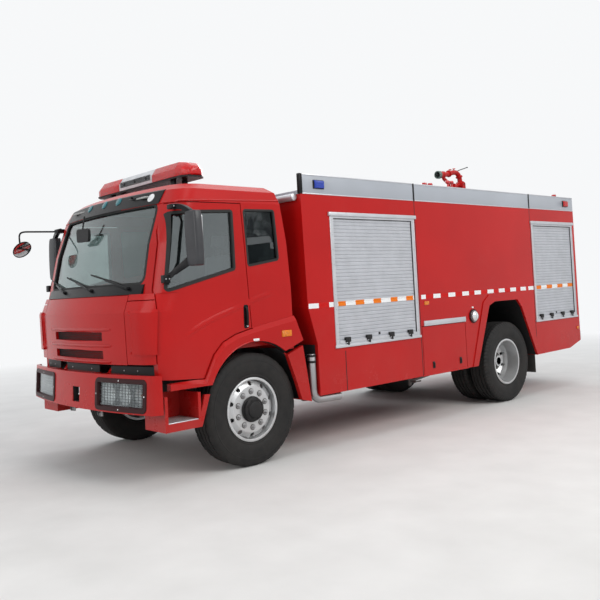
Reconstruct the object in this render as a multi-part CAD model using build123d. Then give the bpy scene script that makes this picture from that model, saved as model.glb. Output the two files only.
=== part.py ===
from build123d import *
import math
import os

# Foam fire truck: a forward-control cab and a three-part locker and tank body on a two-axle chassis.
# Lengths are in millimetres. X points to the vehicle's left, Y to its rear and Z up from the ground.
# Stations along Y are measured from the front axle. Once made, all pieces move together so that the
# origin is on the ground at mid-length.

# Driving dimensions of the vehicle
wheelbase = 4300
cab_width = 2400
body_width = 2500
skirt_bottom = 550
body_floor = 1000
band_bottom = 2585
body_top = 2790

# Clearances and sheet thicknesses
panel_gap = 8
working_gap = 5
pin_gap = 1
cab_wall = 50
front_skin = 30
body_wall = 40
glass_gauge = 6
glass_inset = 20

# Wheels and tyres
tyre_radius = 527
tyre_width = 279
tread_width = 216
shoulder_drop = 16
rim_radius = 286
rim_flange_radius = 299
rim_width = 235
rim_gauge = 10
front_track = 2090
rear_outer_track = 2146
twin_spacing = 320
hub_radius = 105
hub_cap_radius = 72
bolt_face_radius = 215
drum_radius = 205
hand_hole_radius = 21
hand_hole_circle = 241
hand_holes = 10
front_disc_face = 100
twin_disc_offset = 160

# Axles, springs and steering
kingpin_track = 1760
kingpin_radius = 25
beam_depth = 90
beam_height = 100
beam_drop = 77
steering_arm_length = 230
track_rod_height = 400
rod_radius = 17
axle_tube_radius = 65
spindle_radius = 34
banjo_radius = 190
pinion_reach = 290
leaf_width = 70
leaf_gauge = 16
leaf_count = 5
leaf_half_length = 740
leaf_camber = 70

# Ladder frame
rail_outer = 430
rail_flange = 75
rail_gauge = 10
rail_bottom = 700
rail_top = 950
rail_front = -1050
tilt_bracket_length = 60
rail_rear = wheelbase + 1830
cross_member_depth = 60
subframe_front = 820
cab_rest = 400

# Engine and gearbox
engine_half = 320
engine_front = -600
engine_rear = 520
engine_bottom = 505
engine_top = 1035
gearbox_rear = 1300
gearbox_height = 720

# Body stations
body_front = 665
body_front_kink = (690, 1446)
skirt_front_shoulder = (797, 1069)
skirt_front = 803
front_seam = 2450
rear_seam = wheelbase + 680
body_rear = wheelbase + 1930
side_locker_inner = 620
wheelhouse_inner = 590

# Roller shutters
shutter_front_start = 1055
shutter_head = 2408
shutter_margin = 20
shutter_rail = 52
shutter_head_depth = 58
shutter_sill = 43
shutter_rear_width = 1240
slat_pitch = 39
slat_depth = 6
curtain_depth = 18
lift_bar_height = 55
lift_bar_depth = 16
latch_width = 60
latch_shares = (0.127, 0.365, 0.635, 0.873)

# Rear wheel arch
arch_front_foot = wheelbase - 760
arch_front_shoulder = wheelbase - 444
arch_rear_shoulder = wheelbase + 330
arch_rear_foot = wheelbase + 666
arch_shoulder_height = 1234
arch_top = 1340
arch_flare_width = 105
arch_flare_proud = 12

# Step flap in the tank body's side
flap_front = 2478
flap_rear = arch_front_foot - 223
flap_top = 1117
flap_thickness = 40
flap_pocket_depth = 300
flap_pocket_margin = 40
flap_barrel = 9
flap_pin = 4
flap_pin_length = 24

# Tank inlet
inlet_station = 3500
inlet_height = 1180
inlet_radius = 78
inlet_proud = 18

# Roof
deck_gauge = 40
parapet_gauge = 40
walkway_front = 900
walkway_rear = 2380
walkway_half = 1050
walkway_gauge = 4
manhole_station = 3300
manhole_radius = 290
manhole_neck = 250
manhole_height = 85

# Cab sections: height, half width, nose station, nose bow radius, corner radius, back station
lower_cab = [
    (860, cab_width / 2, -1175, 4700, 240, 520),
    (1500, cab_width / 2, -1192, 4700, 260, 520),
    (1660, cab_width / 2, -1150, 4000, 290, 518),
]
upper_cab = [
    (1660, cab_width / 2, -1090, 4700, 175, 518),
    (2100, cab_width / 2, -996, 4550, 210, 488),
    (2470, cab_width / 2 - 6, -859, 4750, 175, 432),
    (2590, cab_width / 2 - 52, -790, 4700, 200, 408),
    (2650, cab_width / 2 - 150, -700, 4600, 240, 360),
    (2675, cab_width / 2 - 300, -540, 4500, 240, 260),
]
cab_floor = 1105
cab_floor_gauge = 40
cab_skirt = 1050

# Cab openings, in station and height, or in width and height for the windscreen
door_front_line = [(-985, 915), (-990, 1200), (-975, 1500), (-955, 1690), (-868, 2100), (-782, 2452)]
door_sill_rear = (-560, 885)
door_inner = 985
door_crease = [(-452, 1085), (-345, 1188), (-198, 1249), (-21, 1288)]
door_rear_top = (-61, 2472)
door_window = [(-912, 1655), (-150, 1838), (-150, 2404), (-785, 2378)]
quarter_window = [(-35, 2412), (355, 2420), (385, 1922), (-10, 1862)]
window_corner = 35
windscreen = [(-960, 1735), (960, 1735), (930, 2478), (-930, 2478)]
windscreen_corner = 90
visor_band_top = 2600
visor_band_half = 925
visor_band_gauge = 12
cowl_top = 1745

# Cab front
front_panel_half = 830
front_panel_bottom = 1045
front_panel_top = 1652
slot_half = 490
slot_scoop = 170
slot_heights = [(1255, 1333), (1090, 1166)]
slot_scoop_depth = 16
corner_panel_top = 1600
vane_inner = 930
vane_bottom = 1135
vane_top = 1525
vane_proud = 20

# Cab fender
fender_outer = 1240
fender_inner = 1178
fender_shoulder = 45
fender_tail = [(533, 1374), (615, 1124), (360, 1034)]
fender_arch_centre = (20, 600)
fender_arch_radius = 565
sill_bottom = 822
sill_front = -930

# Cab tilt pivot
tilt_station = -1100
tilt_height = 900
tilt_lug = 45
tilt_boss = 38
tilt_pin = 16
tilt_lug_set_back = 130

# Cab interior
seat_offset = 620
seat_width = 480
seat_front = -420
seat_height = 1560
cushion_gauge = 120
seat_depth = 480
seat_base_inset = 60
backrest_gauge = 110
backrest_top = 2240
backrest_rake = 70
steering_wheel_radius = 225
steering_rim_radius = 15
steering_wheel_tilt = 35
steering_column_length = 275
dash_rear = -720
dash_top = 1650
dash_bottom = 1330
dash_nose_drop = 120
dash_slope = 60
dash_half = door_inner - 20

# Mirrors, as offsets from the vehicle's centre line, stations and heights
mirror_centre = (1400, -730, 2115)
mirror_width = 185
mirror_depth = 85
mirror_height = 470
mirror_arm_root = (1115, -770, 2405)
mirror_foot_root = (1150, -880, 1792)
mirror_arm_radius = 20
kerb_mirror_centre = (-1330, -1130, 2215)
kerb_mirror_radius = 105
kerb_arm_radius = 9

# Light bar
light_bar_station = -330
light_bar_half = 930
light_bar_centre_half = 330
light_bar_depth = 290
light_bar_bottom = 2745
light_bar_top = 2900
light_bar_foot_half = 600

# Bumper and lamps
bumper_bottom = 634
bumper_top = 964
bumper_nose_bottom = -1245
bumper_nose_top = -1222
bumper_bow = 5200
bumper_corner = 110
bumper_gauge = 30
bumper_rear = -1016
headlamp_inner = 440
headlamp_outer = 1130
headlamp_low = 655
headlamp_high = 925
headlamp_frame = 55
lens_recess = 14
tow_hole_half = 68
tow_hole_low = 690
tow_hole_high = 830
tow_hole_offset = 70

# Entry steps under the doors
step_outer = 1235
step_inner = 900
step_front = -995
step_top = 778
step_bottom = 475
step_rear = -628
step_wing_top = (-528, 744)
step_wing_bottom = -624
step_wall = 30
step_tread = 545

# Mudguards behind the front wheels
guard_outer = 1240
guard_skin = 45
guard_inner = 900
guard_liner_radius = 625
guard_liner_gauge = 12
guard_liner_top = 1020
guard_outline = [(400, 1000), (604, 1074), (688, 511), (562, 542), (497, 745)]

# Side pipe in front of the body skirt
pipe_offset = 1150
pipe_station = 752
pipe_radius = 30
pipe_top = 960
pipe_bottom = 515
pipe_tail = 1120
pipe_bend = 70
pipe_clamps = (700, 880)

# Rear end
rear_bumper_depth = 90
rear_bumper_height = 120
rear_bumper_bottom = 655
tow_jaw_half = 70
tow_jaw_plate = 25
tow_jaw_mouth = 55
tow_jaw_reach = 95
tow_jaw_top = 650
tow_pin_bore = 21
ladder_offset = 960
ladder_width = 360
ladder_tube = 16
ladder_standoff = 90
ladder_bottom = 960
ladder_rungs = 6
ladder_rise = 190
ladder_overlap = 220
ladder_bend = 90
mudflap_bottom = 305
mudflap_gauge = 8
tail_lamp_width = 330
tail_lamp_height = 105
tail_lamp_proud = 22

# Lamps on the body's upper band
beacon_length = 152
beacon_height = 88
beacon_proud = 26
beacon_height_centre = 2689
beacon_front_station = 919
beacon_rear_station = wheelbase + 1695

# Water monitor on the roof
monitor_station = 5130
column_radius = 75
column_top = 2965
trunnion_height = 3105
trunnion_station = 5175
trunnion_half = 48
trunnion_pin = 14
cheek_gauge = 18
waterway_radius = 42
nozzle_radius = 58
nozzle_tip = (4605, 3222)
elbow_top = (5085, 3302)

pieces = {}


def block(x0, x1, y0, y1, z0, z1):
    return Pos((x0 + x1) / 2, (y0 + y1) / 2, (z0 + z1) / 2) * Box(x1 - x0, y1 - y0, z1 - z0)


def polygon(points, corner=0):
    face = Polygon(*points, align=None)
    return fillet(face.vertices(), corner) if corner else face


def side_plate(points, x0, x1, corner=0):
    """Outline in station and height, given thickness along X."""
    return extrude(Plane.YZ.offset(x0) * polygon(points, corner), amount=x1 - x0, dir=(1, 0, 0))


def front_plate(points, y0, y1, corner=0):
    """Outline in width and height, given thickness along Y."""
    return extrude(Plane.XZ.offset(-y0) * polygon(points, corner), amount=y1 - y0, dir=(0, 1, 0))


def plan_plate(points, z0, z1, corner=0):
    """Outline in width and station, given thickness along Z."""
    return extrude(Plane.XY.offset(z0) * polygon(points, corner), amount=z1 - z0, dir=(0, 0, 1))


def cylinder_x(x0, x1, y, z, radius):
    return Pos((x0 + x1) / 2, y, z) * Rotation(0, 90, 0) * Cylinder(radius, x1 - x0)


def cylinder_y(x, y0, y1, z, radius):
    return Pos(x, (y0 + y1) / 2, z) * Rotation(90, 0, 0) * Cylinder(radius, y1 - y0)


def cylinder_z(x, y, z0, z1, radius):
    return Pos(x, y, (z0 + z1) / 2) * Cylinder(radius, z1 - z0)


def rod(start, end, radius):
    """Round bar from one point to another."""
    line = Vector(*end) - Vector(*start)
    plane = Plane(origin=start, z_dir=line)
    return extrude(plane * Circle(radius), amount=line.length)


def bent_pipe(points, radius, bends):
    """Round bar along straight runs joined by tangent arcs."""
    path = FilletPolyline(*points, radius=bends)
    start = path @ 0
    return sweep(Plane(origin=start, z_dir=path % 0) * Circle(radius), path=path)


def turned(points):
    """Body of revolution about X from an outline in distance along X and radius."""
    return revolve(Polygon(*points, align=None), axis=Axis.X)


def both(shape):
    return shape + mirror(shape, about=Plane.YZ)


def right_of(shape):
    return mirror(shape, about=Plane.YZ)


def keep(name, shape):
    pieces[name] = shape


# Cab hull

def cab_outline(section, inset):
    """Plan of the cab: straight sides, tangent corner arcs and one wide arc across the nose."""
    height, half, nose, bow, corner, back = section
    half -= inset
    corner -= inset
    bow -= inset
    nose += inset
    back -= inset
    bow_centre = nose + bow
    corner_x = half - corner
    corner_y = bow_centre - math.sqrt((bow - corner) ** 2 - corner_x ** 2)
    spread = bow / (bow - corner)
    end_x = corner_x * spread
    end_y = bow_centre + (corner_y - bow_centre) * spread
    middle = math.atan2(corner_y - end_y, end_x - corner_x) / 2
    mid_x = corner_x + corner * math.cos(middle)
    mid_y = corner_y - corner * math.sin(middle)
    edges = [
        Line((half, back), (half, corner_y)),
        ThreePointArc((half, corner_y), (mid_x, mid_y), (end_x, end_y)),
        ThreePointArc((end_x, end_y), (0, nose), (-end_x, end_y)),
        ThreePointArc((-end_x, end_y), (-mid_x, mid_y), (-half, corner_y)),
        Line((-half, corner_y), (-half, back)),
        Line((-half, back), (half, back)),
    ]
    return Pos(0, 0, height) * make_face(edges)


def section_at(table, height):
    for low, high in zip(table, table[1:]):
        if low[0] <= height <= high[0]:
            share = (height - low[0]) / (high[0] - low[0])
            return tuple(a + (b - a) * share for a, b in zip(low, high))
    raise ValueError("no cab section at that height")


def hull_part(table, bottom, top, inset):
    inner = [s for s in table if bottom < s[0] < top]
    sections = [section_at(table, bottom)] + inner + [section_at(table, top)]
    return loft([cab_outline(s, inset) for s in sections], ruled=True)


ledge = lower_cab[-1][0]
cab_roof = upper_cab[-1][0]


def cab_hull(inset, bottom, roof_drop=0):
    """The cab's outer form moved inwards, from a bottom height to its roof less a drop."""
    lower = hull_part(lower_cab, bottom, ledge, inset)
    upper = hull_part(upper_cab, ledge, cab_roof, inset)
    hull = lower + upper
    if roof_drop:
        hull -= block(-cab_width, cab_width, -2000, 2000, cab_roof - roof_drop, cab_roof + 100)
    return hull


# Wheels

def tyre():
    bead = rim_width / 2 - rim_gauge
    half = tyre_width / 2
    tread = tread_width / 2
    shoulder = tyre_radius - shoulder_drop
    lip = rim_flange_radius + 2
    middle = (lip + shoulder) / 2
    outline = [
        Line((-bead, lip), (-bead, rim_radius)),
        Line((-bead, rim_radius), (bead, rim_radius)),
        Line((bead, rim_radius), (bead, lip)),
        ThreePointArc((bead, lip), (half, middle), (half - 12, shoulder - 12)),
        Line((half - 12, shoulder - 12), (tread, tyre_radius)),
        Line((tread, tyre_radius), (-tread, tyre_radius)),
        Line((-tread, tyre_radius), (12 - half, shoulder - 12)),
        ThreePointArc((12 - half, shoulder - 12), (-half, middle), (-bead, lip)),
    ]
    return revolve(make_face(outline), axis=Axis.X)


def rim_barrel():
    edge = rim_width / 2
    seat = edge - rim_gauge
    inner = rim_radius - rim_gauge
    return turned([
        (-edge, inner), (-edge, rim_flange_radius), (-seat, rim_flange_radius), (-seat, rim_radius),
        (seat, rim_radius), (seat, rim_flange_radius), (edge, rim_flange_radius), (edge, inner),
    ])


def hand_hole_cuts(x0, x1):
    cuts = [
        Rotation(360 * i / hand_holes, 0, 0) * cylinder_x(x0, x1, 0, hand_hole_circle, hand_hole_radius)
        for i in range(hand_holes)
    ]
    return cuts


def front_rim():
    """Convex disc wheel with its hub and brake drum."""
    inner = rim_radius - rim_gauge
    face = front_disc_face
    disc = turned([
        (face - rim_gauge, 0), (face - rim_gauge, bolt_face_radius), (face - 45, inner - 20), (20, inner),
        (50, inner), (face - 30, inner - 12), (face, bolt_face_radius), (face, 0),
    ])
    hub = cylinder_x(-10, face + 40, 0, 0, hub_radius)
    cap = cylinder_x(face + 40, face + 62, 0, 0, hub_cap_radius)
    drum = cylinder_x(-110, 8, 0, 0, drum_radius) - cylinder_x(-111, -10, 0, 0, drum_radius - 25)
    for cut in hand_hole_cuts(30, face + 1):
        disc -= cut
    return rim_barrel() + disc + hub + cap + drum


def twin_rims():
    """Outer and inner rims that bolt together back to back, with hub and brake drum between."""
    inner = rim_radius - rim_gauge
    offset = twin_disc_offset
    disc = turned([
        (-offset, 0), (-offset, 200), (-125, 262), (-80, inner), (-50, inner), (-108, 250),
        (rim_gauge - offset, 190), (rim_gauge - offset, 0),
    ])
    for cut in hand_hole_cuts(-offset - 1, -40):
        disc -= cut
    outer = rim_barrel() + disc
    middle = twin_spacing / 2
    pair = Pos(middle, 0, 0) * outer + Pos(-middle, 0, 0) * Rotation(0, 0, 180) * outer
    hub = cylinder_x(-70, 95, 0, 0, hub_radius) + cylinder_x(95, 150, 0, 0, hub_cap_radius)
    drum = cylinder_x(-250, -20, 0, 0, drum_radius) - cylinder_x(-251, -70, 0, 0, drum_radius - 25)
    return pair + hub + drum


front_x = front_track / 2
twin_x = (rear_outer_track - twin_spacing) / 2
front_tyre = Pos(front_x, 0, tyre_radius) * tyre()
front_wheel = Pos(front_x, 0, tyre_radius) * front_rim()
twin_tyres = Pos(twin_x + twin_spacing / 2, wheelbase, tyre_radius) * tyre()
twin_tyres += Pos(twin_x - twin_spacing / 2, wheelbase, tyre_radius) * tyre()
twin_wheels = Pos(twin_x, wheelbase, tyre_radius) * twin_rims()
keep("tyre_front_left", front_tyre)
keep("tyre_front_right", right_of(front_tyre))
keep("rim_front_left", front_wheel)
keep("rim_front_right", right_of(front_wheel))
keep("tyres_rear_left", twin_tyres)
keep("tyres_rear_right", right_of(twin_tyres))
keep("rims_rear_left", twin_wheels)
keep("rims_rear_right", right_of(twin_wheels))

# Front axle, knuckles and track rod
kingpin_x = kingpin_track / 2
eye_half = 52
eye_radius = 48
yoke_gauge = 42
yoke_reach = working_gap + eye_half
axle_z = tyre_radius


def leaf_pack(centre, x0, seat):
    """Stacked leaves, the longest on top, resting at seat height on the axle."""
    pack = None
    for i in range(leaf_count):
        reach = leaf_half_length * (1 - i / (leaf_count + 1))
        low = seat + leaf_gauge * (leaf_count - 1 - i)
        rise = leaf_camber * (reach / leaf_half_length) ** 2
        ends = [(centre - reach, low + rise), (centre + reach, low + rise)]
        edges = [
            ThreePointArc(ends[0], (centre, low), ends[1]),
            Line(ends[1], (ends[1][0], ends[1][1] + leaf_gauge)),
            ThreePointArc(
                (ends[1][0], ends[1][1] + leaf_gauge), (centre, low + leaf_gauge),
                (ends[0][0], ends[0][1] + leaf_gauge)),
            Line((ends[0][0], ends[0][1] + leaf_gauge), ends[0]),
        ]
        leaf = extrude(Plane.YZ.offset(x0) * make_face(edges), amount=leaf_width, dir=(1, 0, 0))
        pack = leaf if pack is None else pack + leaf
    return pack


beam_low = axle_z - eye_half - beam_drop
beam_neck = kingpin_x - eye_radius - 10
front_seat = beam_low + beam_height + 20
beam_outline = [
    (-kingpin_x, axle_z - eye_half + 10), (-beam_neck, axle_z - eye_half + 10),
    (-kingpin_x + 230, beam_low), (kingpin_x - 230, beam_low),
    (beam_neck, axle_z - eye_half + 10), (kingpin_x, axle_z - eye_half + 10),
    (kingpin_x, axle_z + eye_half - 10), (beam_neck, axle_z + eye_half - 10),
    (kingpin_x - 230, beam_low + beam_height), (-kingpin_x + 230, beam_low + beam_height),
    (-beam_neck, axle_z + eye_half - 10), (-kingpin_x, axle_z + eye_half - 10),
]
beam = front_plate(beam_outline, -beam_depth / 2, beam_depth / 2)
front_leaf_x = rail_outer - leaf_width
for side in (-1, 1):
    x = side * kingpin_x
    beam += cylinder_z(x, 0, axle_z - eye_half, axle_z + eye_half, eye_radius)
    beam -= cylinder_z(x, 0, 0, 2 * axle_z, kingpin_radius + pin_gap)
    pad_x = side * (front_leaf_x + leaf_width / 2)
    beam += block(pad_x - 50, pad_x + 50, -70, 70, beam_low + beam_height - 10, front_seat)
keep("front_axle", beam + both(leaf_pack(0, front_leaf_x, front_seat)))

spindle_end = front_x - 12
flange_x = kingpin_x + eye_radius + working_gap
knuckle = cylinder_z(kingpin_x, 0, axle_z - yoke_reach - yoke_gauge, axle_z + yoke_reach + yoke_gauge,
                     kingpin_radius)
for z in (axle_z - yoke_reach - yoke_gauge, axle_z + yoke_reach):
    knuckle += cylinder_z(kingpin_x, 0, z, z + yoke_gauge, eye_radius)
    knuckle += block(kingpin_x, flange_x + 15, -eye_radius, eye_radius, z, z + yoke_gauge)
knuckle += block(flange_x, flange_x + 25, -eye_radius, eye_radius, axle_z - yoke_reach - yoke_gauge,
                 axle_z + yoke_reach + yoke_gauge)
knuckle += cylinder_x(flange_x, spindle_end, 0, axle_z, spindle_radius)
arm_low = axle_z - yoke_reach - yoke_gauge
knuckle += block(kingpin_x - 22, kingpin_x + 22, 0, steering_arm_length + 25, arm_low, arm_low + 30)
knuckle -= cylinder_z(kingpin_x, steering_arm_length, 0, axle_z, 12 + pin_gap)
keep("knuckle_left", knuckle)
keep("knuckle_right", right_of(knuckle))

rod_z = arm_low - working_gap - rod_radius
track_rod = cylinder_x(-kingpin_x, kingpin_x, steering_arm_length, rod_z, rod_radius)
for side in (-1, 1):
    track_rod += cylinder_z(side * kingpin_x, steering_arm_length, rod_z - rod_radius - 6, arm_low + 28, 12)
keep("track_rod", track_rod)

# Rear axle
rear_leaf_x = rail_outer + 35
rear_seat = axle_z + axle_tube_radius + 15
housing = cylinder_x(-side_locker_inner - 20, side_locker_inner + 20, wheelbase, axle_z, axle_tube_radius)
housing += Pos(0, wheelbase, axle_z) * turned([
    (-150, 0), (-150, axle_tube_radius + 20), (-90, banjo_radius), (90, banjo_radius),
    (150, axle_tube_radius + 20), (150, 0),
])
housing += cylinder_y(0, wheelbase - pinion_reach, wheelbase, axle_z + 20, 85)
for side in (-1, 1):
    spindle = sorted([side * side_locker_inner, side * (twin_x - 80)])
    housing += cylinder_x(spindle[0], spindle[1], wheelbase, axle_z, spindle_radius + 12)
    pad_x = side * (rear_leaf_x + leaf_width / 2)
    housing += block(pad_x - 50, pad_x + 50, wheelbase - 70, wheelbase + 70, axle_z, rear_seat)
keep("rear_axle", housing + both(leaf_pack(wheelbase, rear_leaf_x, rear_seat)))

# Ladder frame
rail = block(rail_outer - rail_flange, rail_outer, rail_front, rail_rear, rail_bottom, rail_top)
rail -= block(rail_outer - rail_flange - 1, rail_outer - rail_gauge, rail_front - 1, rail_rear + 1,
              rail_bottom + rail_gauge, rail_top - rail_gauge)
frame = both(rail)
web = rail_outer - rail_gauge
cross_members = [
    block(-web, web, y, y + cross_member_depth, rail_bottom + 90, rail_top - rail_gauge)
    for y in (rail_front + tilt_bracket_length, 1500, front_seam, arch_front_foot, rear_seam + 60, rail_rear - 100)]
frame += both(block(rail_outer - rail_flange, rail_outer, subframe_front, rail_rear, rail_top, body_floor))
hanger_gauge = 14


def hangers(centre, leaf_x, seat):
    """Plates from the rail down to the two ends of a leaf pack."""
    eye_z = seat + leaf_gauge * (leaf_count - 1) + leaf_camber
    plates = None
    for end in (-1, 1):
        y = centre + end * (leaf_half_length + 20)
        for x in (leaf_x - hanger_gauge - 1, leaf_x + leaf_width + 1):
            plate = block(x, x + hanger_gauge, y - 45, y + 45, eye_z - 30, rail_bottom + 95)
            plates = plate if plates is None else plates + plate
        plates += cylinder_x(leaf_x - hanger_gauge, leaf_x + leaf_width + hanger_gauge, y + end * 5,
                             eye_z + 8, 13)
        x0 = min(leaf_x - hanger_gauge - 1, rail_outer - rail_gauge)
        plates += block(x0, leaf_x + leaf_width + 1 + hanger_gauge, y - 45, y + 45, rail_bottom + 75,
                        rail_bottom + 95)
    return plates


frame += both(hangers(wheelbase, rear_leaf_x, rear_seat))
frame += both(hangers(0, front_leaf_x, front_seat))
# brackets that carry the pins of the tilting cab
bracket_foot = rail_front + tilt_bracket_length
bracket = side_plate([
    (tilt_station, tilt_height + tilt_boss), (bracket_foot, rail_top), (bracket_foot, rail_bottom + 110),
    (tilt_station, tilt_height - tilt_boss)], rail_outer - rail_flange, rail_outer)
bracket += cylinder_x(rail_outer - rail_flange, rail_outer, tilt_station, tilt_height, tilt_boss)
bracket -= cylinder_x(0, rail_outer + 10, tilt_station, tilt_height, tilt_pin + pin_gap)
frame += both(bracket)
# rest for the back of the cab, a bridge over the engine
cross_members.append(block(-rail_outer, rail_outer, cab_rest, cab_rest + cross_member_depth, engine_top + 10,
                           cab_floor - working_gap))
frame += both(block(rail_outer - rail_flange, rail_outer, cab_rest, cab_rest + cross_member_depth,
                    rail_top, engine_top + 10))
keep("ladder_frame", frame)
keep("cross_members", Compound(cross_members))

# Engine, gearbox and propeller shaft
engine = block(-engine_half, engine_half, engine_front, engine_rear, engine_bottom, engine_top)
gearbox = loft([
    Plane.XZ.offset(-engine_rear) * (Pos(0, gearbox_height) * Rectangle(460, 400)),
    Plane.XZ.offset(-gearbox_rear) * (Pos(0, gearbox_height) * Rectangle(240, 240)),
], ruled=True)
shaft = rod((0, gearbox_rear - 10, gearbox_height - 20), (0, wheelbase - pinion_reach - 6, axle_z + 20), 42)
keep("engine_and_drive", engine + gearbox + shaft)

# Bumper

def bumper_outline(nose, height, inset):
    return cab_outline((height, body_width / 2, nose, bumper_bow, bumper_corner, -700), inset)


def bumper_hull(inset):
    bottom = bumper_outline(bumper_nose_bottom, bumper_bottom, inset)
    top = bumper_outline(bumper_nose_top, bumper_top, inset)
    return loft([bottom, top], ruled=True)


bumper_cut = block(-body_width, body_width, bumper_rear, 0, 0, 2000)
bumper_skin = bumper_hull(0) - bumper_hull(bumper_gauge) - bumper_cut
bumper_ledge = loft([
    bumper_outline(bumper_nose_top, bumper_top - bumper_gauge, 0),
    bumper_outline(bumper_nose_top, bumper_top, 0)], ruled=True)
bumper_ledge -= block(-body_width, body_width, -1110, 0, 0, 2000)
lug_inner = rail_outer + working_gap
bumper_ledge -= both(block(rail_outer - rail_flange - 15, lug_inner + tilt_lug + 15, -1400, 0, 0, 2000))
lamp_hole = both(front_plate([
    (headlamp_inner, headlamp_low), (headlamp_outer, headlamp_low), (headlamp_outer, headlamp_high),
    (headlamp_inner, headlamp_high)], -1400, bumper_rear - 30, 40))
tow_hole = block(tow_hole_offset - tow_hole_half, tow_hole_offset + tow_hole_half, -1400, -1000,
                 tow_hole_low, tow_hole_high)
bumper_stays = both(block(rail_outer - rail_flange, rail_outer, -1225, rail_front,
                          rail_bottom, rail_bottom + 100))
bumper = (bumper_skin + (bumper_ledge & bumper_hull(0))) - lamp_hole - tow_hole
keep("front_bumper", bumper + (bumper_stays & bumper_hull(bumper_gauge - 5)))

lamp_ring = front_plate([
    (headlamp_inner, headlamp_low), (headlamp_outer, headlamp_low), (headlamp_outer, headlamp_high),
    (headlamp_inner, headlamp_high)], -1400, bumper_rear - 30, 40)
lens_shape = front_plate([
    (headlamp_inner + headlamp_frame, headlamp_low + headlamp_frame * 0.6),
    (headlamp_outer - headlamp_frame, headlamp_low + headlamp_frame * 0.6),
    (headlamp_outer - headlamp_frame, headlamp_high - headlamp_frame * 0.6),
    (headlamp_inner + headlamp_frame, headlamp_high - headlamp_frame * 0.6)], -1400, bumper_rear - 30, 25)
lamp_band = bumper_hull(-4) - bumper_hull(bumper_gauge)
keep("headlamp_frames", both((lamp_band & lamp_ring) - lens_shape))
lens_band = bumper_hull(lens_recess) - bumper_hull(bumper_gauge + 20)
keep("headlamp_lenses", both(lens_band & lens_shape))

# Cab openings
door_outline = door_front_line + [(-61, 2458), (door_crease[-1][0] + 21, door_crease[-1][1])] \
    + door_crease[::-1] + [door_sill_rear]


def grow(points, step):
    """Outline moved outwards by a step, corners kept sharp."""
    face = Polygon(*points, align=None)
    return offset(face, amount=step, kind=Kind.INTERSECTION)


def side_cut(points, step, x0=door_inner, x1=2000):
    return extrude(Plane.YZ.offset(x0) * grow(points, step), amount=x1 - x0, dir=(1, 0, 0))


cab_outer = cab_hull(0, lower_cab[0][0])
cab_inner = hull_part(lower_cab, lower_cab[0][0], ledge - cab_wall, cab_wall)
cab_inner += hull_part(upper_cab, ledge, cab_roof, cab_wall)
cab_inner += loft([
    cab_outline((ledge - cab_wall,) + tuple(upper_cab[0][1:]), cab_wall),
    cab_outline(upper_cab[0], cab_wall)], ruled=True)
cab_inner -= block(-cab_width, cab_width, -2000, 2000, cab_roof - cab_wall, cab_roof + 100)
cab_skin = cab_outer - cab_inner

door_region = side_cut(door_outline, panel_gap)
door_body = cab_skin & side_plate(door_outline, door_inner, 1500)
window_cut = side_plate(door_window, door_inner + working_gap, 1500, window_corner)
quarter_cut = side_plate(quarter_window, door_inner, 1500, window_corner)
screen_cut = front_plate(windscreen, -1500, -500, windscreen_corner)

glass_outer = cab_hull(glass_inset, lower_cab[0][0])
glass_inner = cab_hull(glass_inset + glass_gauge, lower_cab[0][0])
glass_skin = glass_outer - glass_inner
upper_zone = block(-2000, 2000, -2000, 2000, ledge + 20, 2560)

door_left = door_body - window_cut
keep("door_left", door_left)
keep("door_right", right_of(door_left))
door_glass = glass_skin & window_cut
keep("door_left_glass", door_glass)
keep("door_right_glass", right_of(door_glass))
keep("cab_glass", ((glass_skin & screen_cut) & upper_zone) + both(glass_skin & quarter_cut))

# Front and corner panels
panel_outer = cab_hull(0, lower_cab[0][0])
panel_inner = cab_hull(front_skin, lower_cab[0][0])
panel_skin = panel_outer - panel_inner
front_panel = panel_skin & block(-front_panel_half, front_panel_half, -1500, -950, front_panel_bottom,
                                 front_panel_top)
for low, high in slot_heights:
    middle = (low + high) / 2
    scoop = loft([
        Plane.XZ.offset(1215) * (Pos(0, middle) * Rectangle(2 * (slot_half + slot_scoop), high - low + 66)),
        Plane.XZ.offset(1192 - slot_scoop_depth) * (Pos(0, middle) * Rectangle(2 * slot_half, high - low)),
    ], ruled=True)
    front_panel -= scoop
    front_panel -= block(-slot_half, slot_half, -1300, -1000, low, high)
keep("front_panel", front_panel)

corner_zone = block(front_panel_half + panel_gap, 2000, -2000, -700, cab_skirt, corner_panel_top)
corner_skin = (panel_skin & corner_zone) - door_region
vane_zone = block(vane_inner, 2000, -2000, -700, vane_bottom, vane_top)
vane = ((cab_hull(-vane_proud, lower_cab[0][0]) - panel_outer) & vane_zone) - door_region
keep("corner_panels", both(corner_skin + vane))

# Cab shell
shell = cab_skin & block(-2000, 2000, -2000, 2000, cab_skirt, 3000)
floor_plate = hull_part(lower_cab, cab_floor, cab_floor + cab_floor_gauge, 5)
shell += floor_plate
shell -= both(door_region)
shell -= screen_cut
shell -= both(quarter_cut)
shell -= panel_skin & block(-front_panel_half - panel_gap, front_panel_half + panel_gap, -1500, -950, 0,
                            front_panel_top + panel_gap)
shell -= both(panel_skin & block(front_panel_half, 2000, -2000, -700, 0, corner_panel_top + panel_gap))
seat_base_half = seat_width / 2 - seat_base_inset
seat_base = block(seat_offset - seat_base_half, seat_offset + seat_base_half,
                  seat_front + seat_base_inset, seat_front + seat_depth - seat_base_inset, cab_floor + 10,
                  seat_height - cushion_gauge)
shell += both(seat_base)
arch_y, arch_z = fender_arch_centre
shell -= both(cylinder_x(cab_width / 2 - 2 * cab_wall, cab_width, arch_y, arch_z, fender_arch_radius))
lug = side_plate([
    (tilt_station - tilt_boss, tilt_height), (tilt_station + tilt_boss, tilt_height),
    (tilt_station + tilt_lug_set_back + 90, cab_floor + 10), (tilt_station + tilt_lug_set_back, cab_floor + 10)],
    lug_inner, lug_inner + tilt_lug)
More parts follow.
